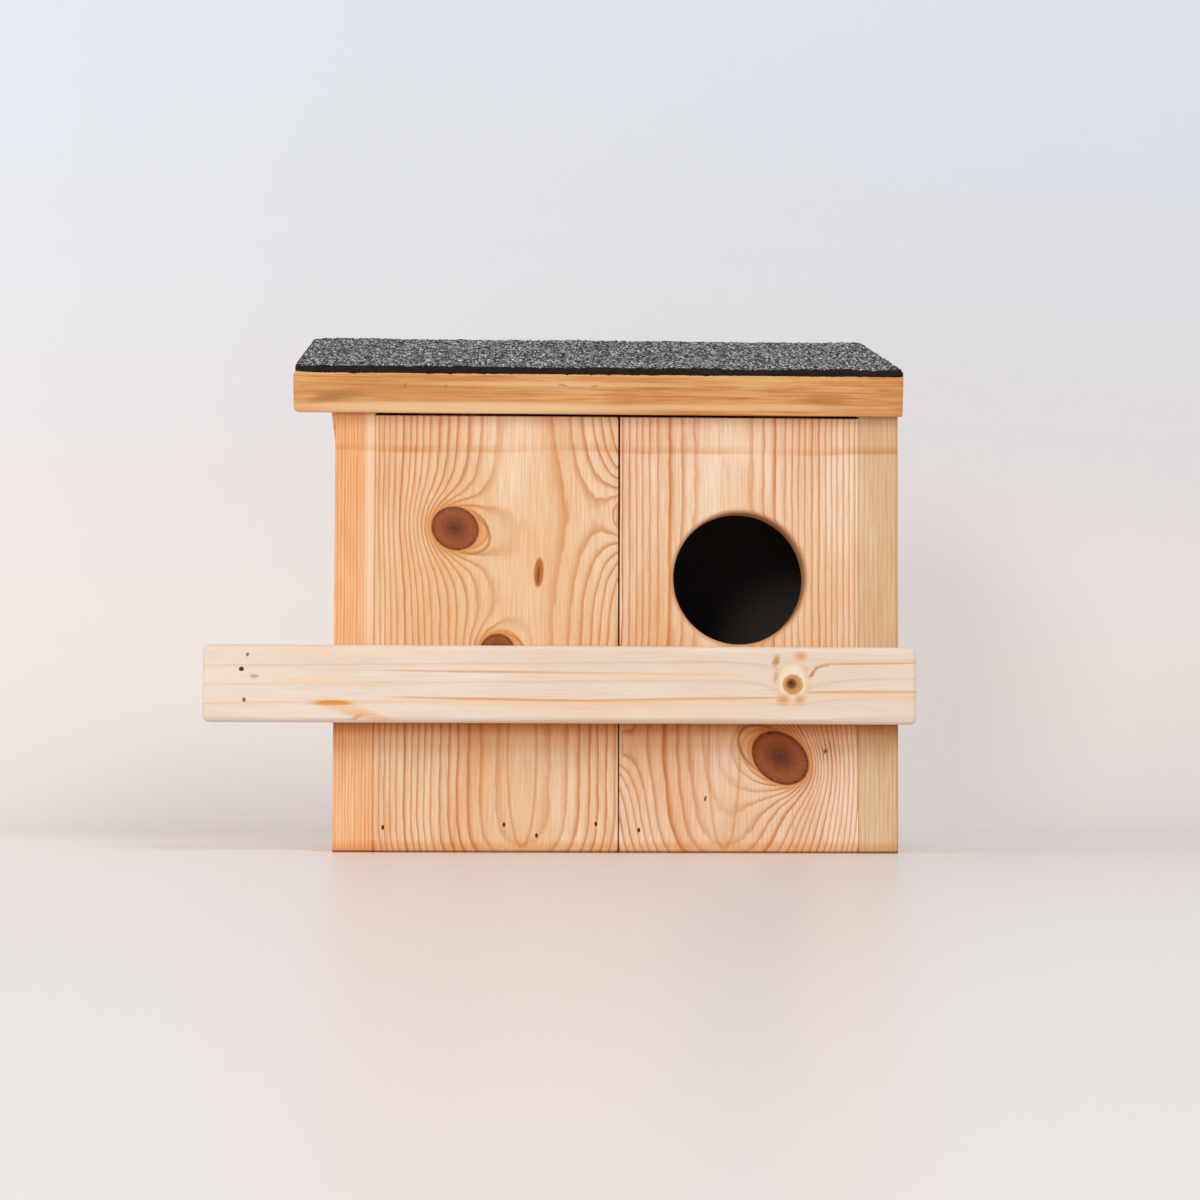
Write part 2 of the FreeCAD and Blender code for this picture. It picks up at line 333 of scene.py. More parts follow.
def cut(piece, tubes):
    """Cut solids out of a piece for good."""
    points, faces = join_tubes(tubes)
    cutter = mesh_object("cutter", points, faces, [False] * len(faces))
    face_outwards(cutter)
    step = piece.modifiers.new("cut", "BOOLEAN")
    step.operation = "DIFFERENCE"
    step.solver = "EXACT"
    step.object = cutter
    bpy.context.view_layer.update()
    view = bpy.context.evaluated_depsgraph_get()
    result = bpy.data.meshes.new_from_object(piece.evaluated_get(view))
    piece.modifiers.clear()
    old = piece.data
    piece.data = result
    bpy.data.meshes.remove(old)
    bpy.data.objects.remove(cutter)


# ---- fasteners' places ---------------------------------------------------------------
# axis and sense in which the fasteners of each node were driven
BRADS = {"front_brads": (1, 1), "back_brads": (1, -1), "side_brads_left": (0, 1), "side_brads_right": (0, -1)}
SCREWS = {"bar_screws": (1, -1), "batten_screws": (1, -1)}
BRAD_R = 0.9
BRAD_HEAD_R = 1.3
BRAD_SUNK = 1.3            # heads are punched this far under the wood
BRAD_LENGTH = 45.0
SCREW_GAP = 9.0            # points of one screw's head lie closer together than this

# (depth, radius) of the recess over a head: the punch's pit and the countersink
BRAD_PIT = [(-1.0, 1.4), (0.0, 1.3), (BRAD_SUNK - 0.1, 1.05), (BRAD_SUNK + 0.6, 1.0)]
COUNTERSINK = [(-1.0, 4.25), (0.0, 4.25), (2.7, 2.1), (3.2, 2.1)]
# and of a brad itself: a domed head, the shank and the point
BRAD = [(BRAD_SUNK, BRAD_HEAD_R * 0.55), (BRAD_SUNK + 0.12, BRAD_HEAD_R * 0.9),
        (BRAD_SUNK + 0.6, BRAD_HEAD_R * 0.9), (BRAD_SUNK + 1.3, BRAD_R),
        (BRAD_LENGTH - 3, BRAD_R), (BRAD_LENGTH - 0.2, 0.12)]


def heads(node):
    """Centre of each head of a node's fasteners, and the direction they were driven in."""
    axis, sign = BRADS.get(node) or SCREWS[node]
    points = node_points(node)
    face = points[:, axis].min() if sign > 0 else points[:, axis].max()
    rims = points[np.abs(points[:, axis] - face) < MARGIN]
    direction = np.zeros(3)
    direction[axis] = sign
    return clusters(rims, 2 * BRAD_HEAD_R + 0.5 if node in BRADS else SCREW_GAP), direction


def recesses(node):
    """Oval pits over a node's brads, or cones just wider than its screws' heads."""
    centres, direction = heads(node)
    if node in BRADS:
        return [tube(centre, direction, BRAD_PIT, squeeze=0.6) for centre in centres]
    return [tube(centre, direction, COUNTERSINK, columns=32) for centre in centres]


def hang_bores():
    """The two hanging holes, from inside the chamber through back boards and batten."""
    run = [(40, HANG_R), (3 * BOARD_T + 60, HANG_R)]
    return [tube((side * HANG_HALF, 0, HANG_AT[2]), (0, 1, 0), run, columns=32) for side in (-1, 1)]


def within(tubes, lo, hi):
    """Those of the solids that lie between two corners across."""
    return [(points, faces) for points, faces in tubes if lo[0] < points[:, 0].mean() < hi[0]]


# ---- materials -----------------------------------------------------------------------
def linear(hex_colour):
    """sRGB hex to linear RGBA."""
    parts = [int(hex_colour[i:i + 2], 16) / 255 for i in (0, 2, 4)]
    return tuple(c / 12.92 if c <= 0.04045 else ((c + 0.055) / 1.055) ** 2.4 for c in parts) + (1.0,)


def add(tree, kind, *values, inputs=None, stops=(), **settings):
    """Add one node: inputs by place or by name, each a value, a socket or a node, and
    for a colour ramp its stops as (position, colour), a bare number being a grey."""
    made = tree.nodes.new("ShaderNode" + kind)
    for key, value in settings.items():
        setattr(made, key, value)
    for index, (position, colour) in enumerate(stops):
        elements = made.color_ramp.elements
        stop = elements[index] if index < len(elements) else elements.new(1.0)
        stop.position = position
        stop.color = linear(colour) if isinstance(colour, str) else (colour, colour, colour, 1.0)
    set_inputs(made, dict(enumerate(values)) | (inputs or {}))
    return made


def set_inputs(made, inputs):
    """Set or link inputs of a node, given by place or by name."""
    for key, value in inputs.items():
        if isinstance(value, bpy.types.Node):
            value = value.outputs[0]
        if isinstance(value, bpy.types.NodeSocket):
            made.id_data.links.new(value, made.inputs[key])
        else:
            made.inputs[key].default_value = value


def new_material(name):
    """Node material with a linked surface shader; returns it, the function that adds
    nodes to it, the shader and the object coordinates."""
    material = bpy.data.materials.new(name)
    material.use_nodes = True
    material.node_tree.nodes.clear()
    node = partial(add, material.node_tree)
    shader = node("BsdfPrincipled")
    node("OutputMaterial", shader)
    return material, node, shader, node("TexCoord").outputs["Object"]


PINE_DEFAULTS = {
    "axes": (0, 1, 2),       # object axes that run across, through and along the board
    "heart": 0.0,            # where the tree's heart lies across the board
    "heart_depth": 26.0,     # and how far behind the face it lies
    "heart_lean": 0.0,       # sideways drift of the heart along the board
    "heart_rise": 0.0,       # change of its depth along the board
    "ring": None,            # ring width in millimetres
    "wave": 3.0,             # slow wander of the grain in millimetres
    "wave_length": 70.0,
    # bends, knots, loops and stains are ellipses: each row begins with its place across
    # and along, half width, half height, and tilt in degrees. Bends and knots go on with
    # their pull on the rings in millimetres and its fading length in half widths,
    "bends": (),
    "knots": (),
    # loops, rings that close in the face, with colour, strength and the amber inside,
    "loops": (),
    # and stains with colour, strength and softness
    "stains": (),
    "early": None,
    "late": None,
    "broad": "F0CFA8",       # tone of the broad darker patches
    "contrast": 1.0,
    "uneven": 0.5,           # how much the rings differ in width
    "fibre": 0.7,            # strength of the fibre streaks
    "fibre_tone": "EFD4B2",
    "sharpness": 1.0,        # above one, the dark part of each ring is a thinner line
    "bore": None,            # centre and radius of a hole, whose end grain is darker
    "ripple": 0.36,          # unevenness of each ring line
    "knot_axes": None,       # axes of the knots' places, where not those of the board
    "end_pull": (9.0, 0.0),  # reach and pull of the curl where the board ends at z = 0
    "band": True,            # faint darker band under the eaves; also turns on the painted shade at the foot and under the bar
    # painted shade: near-black colour on the chamber's faces
    "stain_inside": True,
    "roughness": 0.62,
}
# one year's ring from spring to winter, as the share of late wood
YEAR = (
    (0.0, 0.12), (0.05, 0.02), (0.42, 0.05), (0.62, 0.22), (0.76, 0.70), (0.87, 1.0), (0.94, 0.92), (1.0, 0.12))
KNOT_TONES = (
    (0.0, "5A2A12"), (0.22, "733616"), (0.46, "8A451F"), (0.72, "9B5228"), (0.88, "934A20"), (1.0, "55250C"))
CROWDED_RING, AMBER_WOOD, KNOT_FRINGE = "7E3F14", "E3A669", "D98A3C"
# darker end grain of the entrance, and the near-black painted shade of the chamber's faces
END_GRAIN, CHAMBER_PAINTED_SHADE = "BE7632", "3A3837"

# marks between two heights on the box: a darker line a little under the eaves, painted shade
# along the foot over a warmer tone, and a painted shadow under the bar
EAVES, EAVES_TONES = (195.0, 220.0), (
    (0.0, "FFFFFF"), (0.31, "FFFFFF"), (0.36, "EACBA2"), (0.42, "F0D8B8"), (0.52, "FBF5EE"), (1.0, "F8F1EA"))
# painted contact shade: a dark line along the foot, then a warmer tone fading out by 6.5 mm
FOOT_TINT_AND_PAINTED_SHADE, FOOT_TINT_AND_PAINTED_SHADE_TONES = (0.0, 10.0), (
    (0.0, "6E4526"), (0.08, "8A5A33"), (0.14, "F0CC9E"), (0.40, "F6DDBE"), (0.65, "FFFFFF"))
# painted shadow under the bar, browner towards its underside
BAR_PAINTED_SHADOW, BAR_PAINTED_SHADOW_TONES = (BAR_UNDERSIDE - 16.0, BAR_UNDERSIDE + 4.0), (
    (0.0, "FFFFFF"), (0.4, "F8E8D4"), (0.68, "EDCDA8"), (0.8, "D9A878"), (1.0, "FFFFFF"))


def pine(name, **changes):
    """Planed Scots pine, untreated: flat-sawn rings as narrow tan lines on cream,
    red-brown knots the rings bend around, fine fibre streaks, a soft sheen."""
    look = dict(PINE_DEFAULTS)
    look.update(changes)
    boards = bpy.context.scene.nesting_boards
    early = linear(look["early"] or boards.early)
    late = linear(look["late"] or boards.late)
    ring = look["ring"] or boards.ring_mm
    material, node, shader, coords = new_material(name)
    scaled = node("VectorMath", coords, operation="SCALE", inputs={"Scale": 1 / MM})
    object_axis = node("SeparateXYZ", scaled).outputs
    place = node("CombineXYZ", *[object_axis[i] for i in look["axes"]])

    knot_place = place
    if look["knot_axes"]:
        knot_place = node("CombineXYZ", *[object_axis[i] for i in look["knot_axes"]])

    def spot(x, z, half_x, half_z, tilt, source=place):
        """Place on the face as seen from a spot, in half sizes of a tilted ellipse."""
        off = node("VectorMath", source, (x, 0.0, z), operation="SUBTRACT")
        flat = node("VectorMath", off, (1.0, 0.0, 1.0), operation="MULTIPLY")
        turned = node("VectorRotate", rotation_type="Y_AXIS",
                      inputs={"Vector": flat, "Angle": math.radians(tilt)})
        return node("VectorMath", turned, (1 / half_x, 1.0, 1 / half_z), operation="MULTIPLY")

    def reach(*ellipse):
        """Distance from a spot, one on the ellipse's rim."""
        return node("VectorMath", spot(*ellipse), operation="LENGTH").outputs["Value"]

    # slow wander of the grain: noise stretched four times along the board
    stretched = node("VectorMath", place, (1.0, 1.0, 0.25), operation="MULTIPLY")
    slow = node("TexNoise", inputs={"Vector": stretched, "Scale": 1 / look["wave_length"],
                                    "Detail": 2.0, "Roughness": 0.45})
    centred = node("VectorMath", slow.outputs["Color"], (0.5, 0.5, 0.5), operation="SUBTRACT")
    wander = node("VectorMath", centred, (look["wave"] * 2, look["wave"], 0.0), operation="MULTIPLY")
    across, depth, along = node("SeparateXYZ", node("VectorMath", place, wander)).outputs
    # distance from the tree's heart
    lean = node("Math", along, look["heart_lean"], look["heart"], operation="MULTIPLY_ADD")
    side = node("Math", across, lean, operation="SUBTRACT")
    behind = node("Math", along, look["heart_rise"], look["heart_depth"], operation="MULTIPLY_ADD")
    end_reach, end_pull = look["end_pull"]
    if end_pull:
        curl = node("Math", along, -1 / end_reach, operation="MULTIPLY")
        curl = node("Math", curl, operation="EXPONENT")
        behind = node("Math", curl, end_pull, behind, operation="MULTIPLY_ADD")
    behind = node("Math", behind, depth, operation="ADD")
    field = node("VectorMath", node("CombineXYZ", side, behind), operation="LENGTH").outputs["Value"]
    # over the heart a ring lies flat in the face, and shows as a wide pale patch
    slant = node("Math", node("Math", side, operation="ABSOLUTE"), field, operation="DIVIDE")
    slant = node("MapRange", slant, 0.0, 0.38, 0.3, 1.0)
    # each knot and bend pulls the rings around itself; rings crowd and darken beside a knot
    knots, crowding = [], None
    for group in ("bends", "knots"):
        for x, z, half_x, half_z, tilt, pull, fade in look[group]:
            far = reach(x, z, half_x, half_z, tilt, knot_place)
            beyond = node("Math", far, 1.0, operation="SUBTRACT")
            beyond = node("Math", beyond, 0.0, operation="MAXIMUM")
            fall = node("Math", node("Math", beyond, -1 / fade, operation="MULTIPLY"), operation="EXPONENT")
            field = node("Math", fall, -pull, field, operation="MULTIPLY_ADD")
            if group == "knots":
                knots.append((far, half_x))
                near = node("MapRange", far, 1.0, 1.0 + 9.0 / half_x, 1.0, 0.0,
                            interpolation_type="SMOOTHSTEP")
                crowding = node("Math", near, crowding or 0.0, operation="MAXIMUM")
    fine = node("TexNoise", inputs={"Vector": stretched, "Scale": 0.30, "Detail": 2.0})
    fine = node("Math", fine, look["ripple"], operation="MULTIPLY")
    count = node("Math", field, 1 / ring, fine, operation="MULTIPLY_ADD")
    # uneven years: some rings are wide and pale, some narrow
    uneven = node("TexNoise", noise_dimensions="1D", inputs={"W": count, "Scale": 0.37, "Detail": 1.0})
    count = node("Math", uneven, look["uneven"], count, operation="MULTIPLY_ADD")
    phase = node("Math", count, operation="FRACT")
    phase = node("Math", phase, look["sharpness"], operation="POWER")
    year = node("Math", count, operation="FLOOR")
    vigour = node("TexWhiteNoise", noise_dimensions="1D", inputs={"W": year})
    vigour = node("Math", vigour, 0.35, 0.65, operation="MULTIPLY_ADD")
    # fine fibre streaks, drawn up to 1 mm wide so that they show
    streak_space = node("VectorMath", place, (1.0, 1.0, 0.03), operation="MULTIPLY")
    fibre = node("TexNoise", inputs={"Vector": streak_space, "Scale": 1.2, "Detail": 3.0, "Roughness": 0.6})
    broken = node("MapRange", fibre, 0.35, 0.65, 0.75, 1.1)
    lateness = node("ValToRGB", phase, stops=YEAR)
    for factor in (vigour, broken, slant, look["contrast"]):
        lateness = node("Math", lateness, factor, operation="MULTIPLY")
    colour = node("MixRGB", lateness, early, late)
    broad = node("TexNoise", inputs={"Vector": stretched, "Scale": 0.035, "Detail": 3.0})
    broad_tone = node("ValToRGB", broad, stops=[(0.34, "FFFFFF"), (0.66, look["broad"])])
    colour = node("MixRGB", 0.7, colour, broad_tone, blend_type="MULTIPLY")
    fibre_tone = node("ValToRGB", fibre, stops=[(0.34, look["fibre_tone"]), (0.58, "FFFFFF")])
    colour = node("MixRGB", look["fibre"], colour, fibre_tone, blend_type="MULTIPLY")
    if crowding:
        dark_lines = node("Math", crowding, lateness, operation="MULTIPLY")
        dark_lines = node("Math", dark_lines, 0.9, operation="MULTIPLY", use_clamp=True)
        colour = node("MixRGB", dark_lines, colour, linear(CROWDED_RING))
    for x, z, half_x, half_z, tilt, tone, strength, golden in look["loops"]:
        unit = spot(x, z, half_x, half_z, tilt, knot_place)
        far = node("VectorMath", unit, operation="LENGTH").outputs["Value"]
        amber = node("MapRange", far, 0.80, 1.02, golden, 0.0)
        colour = node("MixRGB", amber, colour, linear(AMBER_WOOD))
        # millimetres from the rim: reach less one, over how fast the reach grows
        growth = node("VectorMath", unit, (1 / half_x, 1.0, 1 / half_z), operation="MULTIPLY")
        growth = node("VectorMath", growth, operation="LENGTH").outputs["Value"]
        off_line = node("Math", far, 1.0, operation="SUBTRACT")
        off_line = node("Math", off_line, far, operation="MULTIPLY")
        off_line = node("Math", off_line, growth, operation="DIVIDE")
        off_line = node("Math", off_line, operation="ABSOLUTE")
        line = node("MapRange", off_line, 0.3, 1.1, strength, 0.0)
        colour = node("MixRGB", line, colour, linear(tone))
    ragged = node("Math", fibre, 0.8, -0.4, operation="MULTIPLY_ADD")
    for x, z, half_x, half_z, tilt, tone, strength, soft in look["stains"]:
        blur = node("Math", ragged, soft, operation="MULTIPLY")
        far = node("Math", reach(x, z, half_x, half_z, tilt), blur, operation="ADD")
        inside = node("MapRange", far, 1.0 - 0.5 * soft, 1.0 + 0.5 * soft, strength, 0.0,
                      interpolation_type="SMOOTHSTEP")
        colour = node("MixRGB", inside, colour, linear(tone))
    # knots: an amber fringe, then tight rings around a darker heart
    mottled = node("TexNoise", inputs={"Vector": place, "Scale": 0.55, "Detail": 3.0})
    mottled = node("Math", mottled, 0.34, -0.17, operation="MULTIPLY_ADD")
    for far, half_x in knots:
        fringe = node("MapRange", far, 1.0, 1.0 + min(4.5, half_x) / half_x, 0.9, 0.0)
        colour = node("MixRGB", fringe, colour, linear(KNOT_FRINGE))
        spread = node("Math", far, mottled, operation="ADD")
        body = node("ValToRGB", spread, stops=KNOT_TONES)
        rings = node("Math", spread, half_x / 1.5, fine, operation="MULTIPLY_ADD")
        rings = node("Math", rings, operation="FRACT")
        tight = node("ValToRGB", rings, stops=[(0.0, 0.55), (0.35, 1.0), (0.6, 1.0), (1.0, 0.55)])
        body = node("MixRGB", 0.55, body, tight, blend_type="MULTIPLY")
        inside = node("MapRange", far, 1.0 - 0.4 / half_x, 1.0 + 0.4 / half_x, 1.0, 0.0)
        colour = node("MixRGB", inside, colour, body)
    if look["bore"]:
        x, z, radius = look["bore"]
        end_grain = node("MapRange", reach(x, z, radius, radius, 0.0),
                         1.0 + 0.6 / radius, 1.0 + 2.4 / radius, 0.6, 0.0)
        colour = node("MixRGB", end_grain, colour, linear(END_GRAIN))
    x_obj, y_obj, z_obj = object_axis
    if look["band"]:
        # on the front, a darker line a little under the eaves and a faint tint above it, broken and wavy
        shifted = node("Math", slow, 7.0, z_obj, operation="MULTIPLY_ADD")
        band = node("ValToRGB", node("MapRange", shifted, *EAVES), stops=EAVES_TONES)
        patchy = node("TexNoise", inputs={"Vector": place, "Scale": 0.03})
        patchy = node("MapRange", patchy, 0.35, 0.62, 0.25, 0.9)
        front = node("MapRange", y_obj, Y_FRONT + 0.5, Y_FRONT + 1.5, 1.0, 0.0)
        patchy = node("Math", patchy, front, operation="MULTIPLY")
        colour = node("MixRGB", patchy, colour, band, blend_type="MULTIPLY")
        # painted shade darkens the lower edge over a warmer tone, and on the front a painted
        # shadow browns the wood just under the bar
        for amount, heights, tones in ((0.8, FOOT_TINT_AND_PAINTED_SHADE, FOOT_TINT_AND_PAINTED_SHADE_TONES), (front, BAR_PAINTED_SHADOW, BAR_PAINTED_SHADOW_TONES)):
            mark = node("ValToRGB", node("MapRange", z_obj, *heights), stops=tones)
            colour = node("MixRGB", amount, colour, mark, blend_type="MULTIPLY")
    rough = node("MapRange", lateness, 0.0, 1.0, look["roughness"], look["roughness"] - 0.12)
    if look["stain_inside"]:
        # painted shade: the chamber's faces are painted near black, standing in for the shade inside the box
        inside_x, inside_y = [node("Math", axis, operation="ABSOLUTE") for axis in (x_obj, y_obj)]
        inside_x = node("Math", inside_x, HALF_IN + MARGIN, operation="LESS_THAN")
        inside_y = node("Math", inside_y, FLOOR_HI[1] + MARGIN, operation="LESS_THAN")
        chamber = node("Math", inside_x, inside_y, operation="MULTIPLY")
        above = node("Math", z_obj, FLOOR_HI[2] - MARGIN, operation="GREATER_THAN")
        chamber = node("Math", chamber, above, operation="MULTIPLY")
        stain = node("MixRGB", 0.97, colour, linear(CHAMBER_PAINTED_SHADE))
        colour = node("MixRGB", chamber, colour, stain)
    grain_height = node("Math", lateness, 0.5, fibre, operation="MULTIPLY_ADD")
    bump = node("Bump", inputs={"Height": grain_height, "Strength": 0.35, "Distance": 0.00012})
    set_inputs(shader, {"Base Color": colour, "Roughness": rough, "Normal": bump, "IOR": 1.47,
                              "Specular IOR Level": 0.3})
    return material


def dress(piece, material):
    """Give a piece its one material."""
    piece.data.materials.clear()
    piece.data.materials.append(material)


# ---- operators: boards ---------------------------------------------------------------
class NESTING_OT_side_walls(bpy.types.Operator):
    """Both side walls: a trapezoid outline carried through the board's thickness"""
    bl_idname = "nesting.side_walls"
    bl_label = "Side Walls"

    def execute(self, context):
        boards = context.scene.nesting_boards
        corners = [(Y_FRONT, 0), (Y_REAR, 0), (Y_REAR, REAR_H), (Y_FRONT, FRONT_H)]
        looks = {
            "left": dict(
                heart=-62.0, heart_depth=24.0, ring=1.25, wave=1.2, contrast=0.75,
                early="F3C69C", late="D5883F", broad="F6DDBE",
                knots=((28.0, 150.0, 9.0, 8.0, -15.0, 7.0, 0.8), (-30.0, 70.0, 6.0, 6.5, 0.0, 5.0, 0.8)),
                stains=((-123.2, 185.0, 2.3, 100.0, 0.0, "F4DABC", 0.6, 1.4),)),
            "right": dict(
                heart=70.0, heart_depth=-6.0, ring=1.3, wave=2.0, contrast=0.5,
                early="E0C3A0", late="C8955C", broad="F0E0CC",
                knots=((-22.0, 178.0, 7.0, 6.0, -10.0, 6.0, 0.8), (34.0, 96.0, 8.0, 8.5, 20.0, 6.0, 0.8)),
                stains=((141.0, 110.0, 1.6, 160.0, 0.0, "B98A5B", 0.5, 0.8),)),
        }
        for side, look in looks.items():
            node = "side_wall_" + side
            wall = plank(node, corners, 1.2, boards.arris, BOARD_T, along_x(node_box(node)[0][0]),
                         "box")
            cut(wall, recesses("side_brads_" + side))
            dress(wall, pine("Planed pine " + node, knot_axes=(1, 0, 2), **look))
        return {"FINISHED"}


class NESTING_OT_front_boards(bpy.types.Operator):
    """Both front boards; the right one's section is carried around the entrance"""
    bl_idname = "nesting.front_boards"
    bl_label = "Front Boards"

    def execute(self, context):
        boards = context.scene.nesting_boards
        left, right = "front_board_left", "front_board_right"
        lo, hi = node_box(left)
        narrow, taper = 0.1, 0.35    # the seam is closed at the foot and opens towards the top
        corners = [(lo[0], lo[2]), (hi[0] + narrow, lo[2]), (hi[0] - taper, hi[2]), (lo[0], hi[2])]
        golden, red_brown, tan = "DFA55C", "A5622C", "CB8440"
        made = {
            left: plank(left, corners, 1.0, boards.arris, BOARD_T, facing_front(Y_FRONT), "box"),
            right: self.entrance_board(boards),
        }
        looks = {
            left: dict(
                ring=2.3, heart=-47.0, heart_depth=17.75, end_pull=(8.0, -2.4),
                knots=((-80.9, 161.0, 12.0, 10.7, -25.0, 10.0, 0.75), (-59.5, 100.5, 8.5, 8.0, 0.0, 6.0, 0.7)),
                bends=((10.0, 168.0, 11.0, 13.0, 0.0, 15.0, 1.1),),
                loops=((-76.2, 159.0, 13.2, 9.6, -27.0, red_brown, 0.85, 0.45),
                       (-57.0, 99.0, 11.0, 9.5, 0.0, red_brown, 0.85, 0.45),
                       (-47.0, 49.0, 7.2, 46.0, 0.0, tan, 0.55, 0.12)),
                # the wood between bar and eaves has yellowed most; then a resin streak
                stains=((-58.0, 126.0, 60.0, 52.0, 0.0, golden, 0.22, 0.8),
                        (-39.1, 139.2, 2.4, 7.4, -4.0, "B5651F", 0.95, 0.35),
                        (-39.3, 138.2, 0.8, 4.6, -4.0, "7E3D12", 0.8, 0.5))),
            right: dict(
                ring=1.9, heart=53.0, heart_depth=14.0, end_pull=(9.0, -2.4), early="F2DBC4",
                knots=((81.7, 47.3, 15.5, 12.0, -38.0, 11.0, 0.75), (104.3, 50.8, 0.9, 0.9, 0.0, 0.4, 1.0)),
                bends=((-5.0, 54.0, 9.0, 12.0, 0.0, 7.5, 1.1), (59.0, 156.0, 15.0, 7.0, 0.0, 0.9, 0.6)),
                loops=((75.0, 50.8, 16.2, 10.4, -38.0, red_brown, 0.85, 0.45),
                       (53.6, 48.0, 7.6, 45.5, 0.0, tan, 0.5, 0.0)),
                bore=(ENTRANCE[0], ENTRANCE[2], ENTRANCE_R),
                stains=((68.0, 130.0, 60.0, 52.0, 0.0, golden, 0.24, 0.8),
                        (44.3, 27.0, 0.6, 1.4, -15.0, "5B3216", 0.9, 0.4))),
        }
        for node, board in made.items():
            cut(board, within(recesses("front_brads") + recesses("bar_screws"), *node_box(node)))
            dress(board, pine("Planed pine " + node, **looks[node]))
        return {"FINISHED"}

    def entrance_board(self, boards):
        """Ring-shaped grid: one direction goes around the entrance, the other around
        the section: hole wall, front face, outer edge, back face. The outer points
        are where a ray from the entrance's centre meets the board's rectangle; an
        inset point is that point clamped to the smaller rectangle."""
        lo, hi = (corner[[0, 2]] for corner in node_box("front_board_right"))
        centre = ENTRANCE[[0, 2]]
        corner_angles = [math.atan2(z - centre[1], x - centre[0])
                         for x in (lo[0], hi[0]) for z in (lo[1], hi[1])]
        rays = 240
        # half a step off, so that no ray runs along an axis
        angles = np.concatenate([(np.arange(rays) + 0.5) / rays * 2 * math.pi - math.pi, corner_angles])
        angles = np.unique(np.round(angles, 9))
        ray = np.stack([np.cos(angles), np.sin(angles)], 1)
        run = (np.where(ray > 0, hi - centre, lo - centre) / ray).min(axis=1)
        rim = centre + ray * run[:, None]
        hole = arris_rows(boards.entrance_arris, BOARD_T, steps=6)
        edge = arris_rows(boards.arris, BOARD_T)
        place = facing_front(Y_FRONT)
        # inset counts outwards in the hole, which flares towards both faces
        loops = [place(centre + ray * (ENTRANCE_R + inset), depth) for inset, depth in hole[::-1]]
        loops += [place(np.clip(rim, lo + inset, hi - inset), depth) for inset, depth in edge]
        faces = band_faces(len(loops), len(angles), wrap_rows=True)
        flat_rows = (len(hole) - 1, len(loops) - 1)
        smooth = [i // len(angles) not in flat_rows for i in range(len(faces))]
        piece = make_piece("front_board_right_planed", np.concatenate(loops), faces, smooth,
                           "box", ["front_board_right"])
        face_outwards(piece)
        return piece


class NESTING_OT_back_boards(bpy.types.Operator):
    """Both back boards: bevelled tops, hanging holes, nail pits"""
    bl_idname = "nesting.back_boards"
    bl_label = "Back Boards"

    def execute(self, context):
        boards = context.scene.nesting_boards
        for name, heart, heart_depth, knots in (
                ("back_board_left", -35.0, -102.0,
                 ((-13.0, 64.0, 9.0, 8.0, 20.0, 8.0, 0.8), (-53.0, 176.0, 6.0, 5.5, 0.0, 6.0, 0.9))),
                ("back_board_right", 72.0, -86.0,
                 ((54.0, 121.0, 10.5, 9.0, -15.0, 8.0, 0.8), (98.0, 38.0, 5.0, 5.5, 0.0, 5.0, 0.9),
                  (86.0, 206.0, 2.2, 2.0, 0.0, 1.5, 1.0)))):
            lo, hi = node_box(name)
            points = node_points(name)
            low_top = points[points[:, 1] < lo[1] + 1][:, 2].max()
            tilt = (hi[2] - low_top) / BOARD_T

            def place(q, depth, lo=lo, hi=hi, tilt=tilt):
                # the top is cut to the roof's slope: points near it drop towards the front
                drop = tilt * (BOARD_T - depth) * (q[:, 1] > hi[2] / 2)
                return np.stack([q[:, 0], np.full(len(q), lo[1] + depth), q[:, 1] - drop], 1)

            board = plank(name, rectangle(lo[0], hi[0], lo[2], hi[2]), 1.0, boards.arris, BOARD_T, place,
                          "box")
            cut(board, within(recesses("back_brads") + hang_bores(), lo, hi))
            dress(board, pine("Planed pine " + name, heart=heart, heart_depth=heart_depth, knots=knots))
        return {"FINISHED"}


class NESTING_OT_floor(bpy.types.Operator):
    """Floor board with its drainage holes"""
    bl_idname = "nesting.floor"
    bl_label = "Floor"

    def execute(self, context):
        boards = context.scene.nesting_boards
        lo, hi = node_box("floor_board")

        def place(q, depth):
            return np.stack([q[:, 0], q[:, 1], np.full(len(q), depth)], 1)

        floor = plank("floor_board", rectangle(lo[0], hi[0], lo[1], hi[1]), 1.0, boards.arris, BOARD_T, place,
                      "box")
        # points of the underside that are off its edges are the rims of the drainage holes
        points = node_points("floor_board")
        under = points[points[:, 2] < MARGIN]
        rims = under[(np.abs(under[:, 0]) < HALF_IN - 2) & (np.abs(under[:, 1]) < hi[1] - 2)]
        drain_r = 4.0
        cut(floor, [tube((c[0], c[1], -1), (0, 0, 1), [(0, drain_r), (BOARD_T + 2, drain_r)], columns=32)
                    for c in clusters(rims, 3 * drain_r)])
        dress(floor, pine("Planed pine floor_board", axes=(1, 2, 0), heart=8.0, heart_depth=30.0, band=False,
                          knots=((-20.0, -50.0, 8.0, 9.0, 0.0, 7.0, 0.8),)))
        return {"FINISHED"}


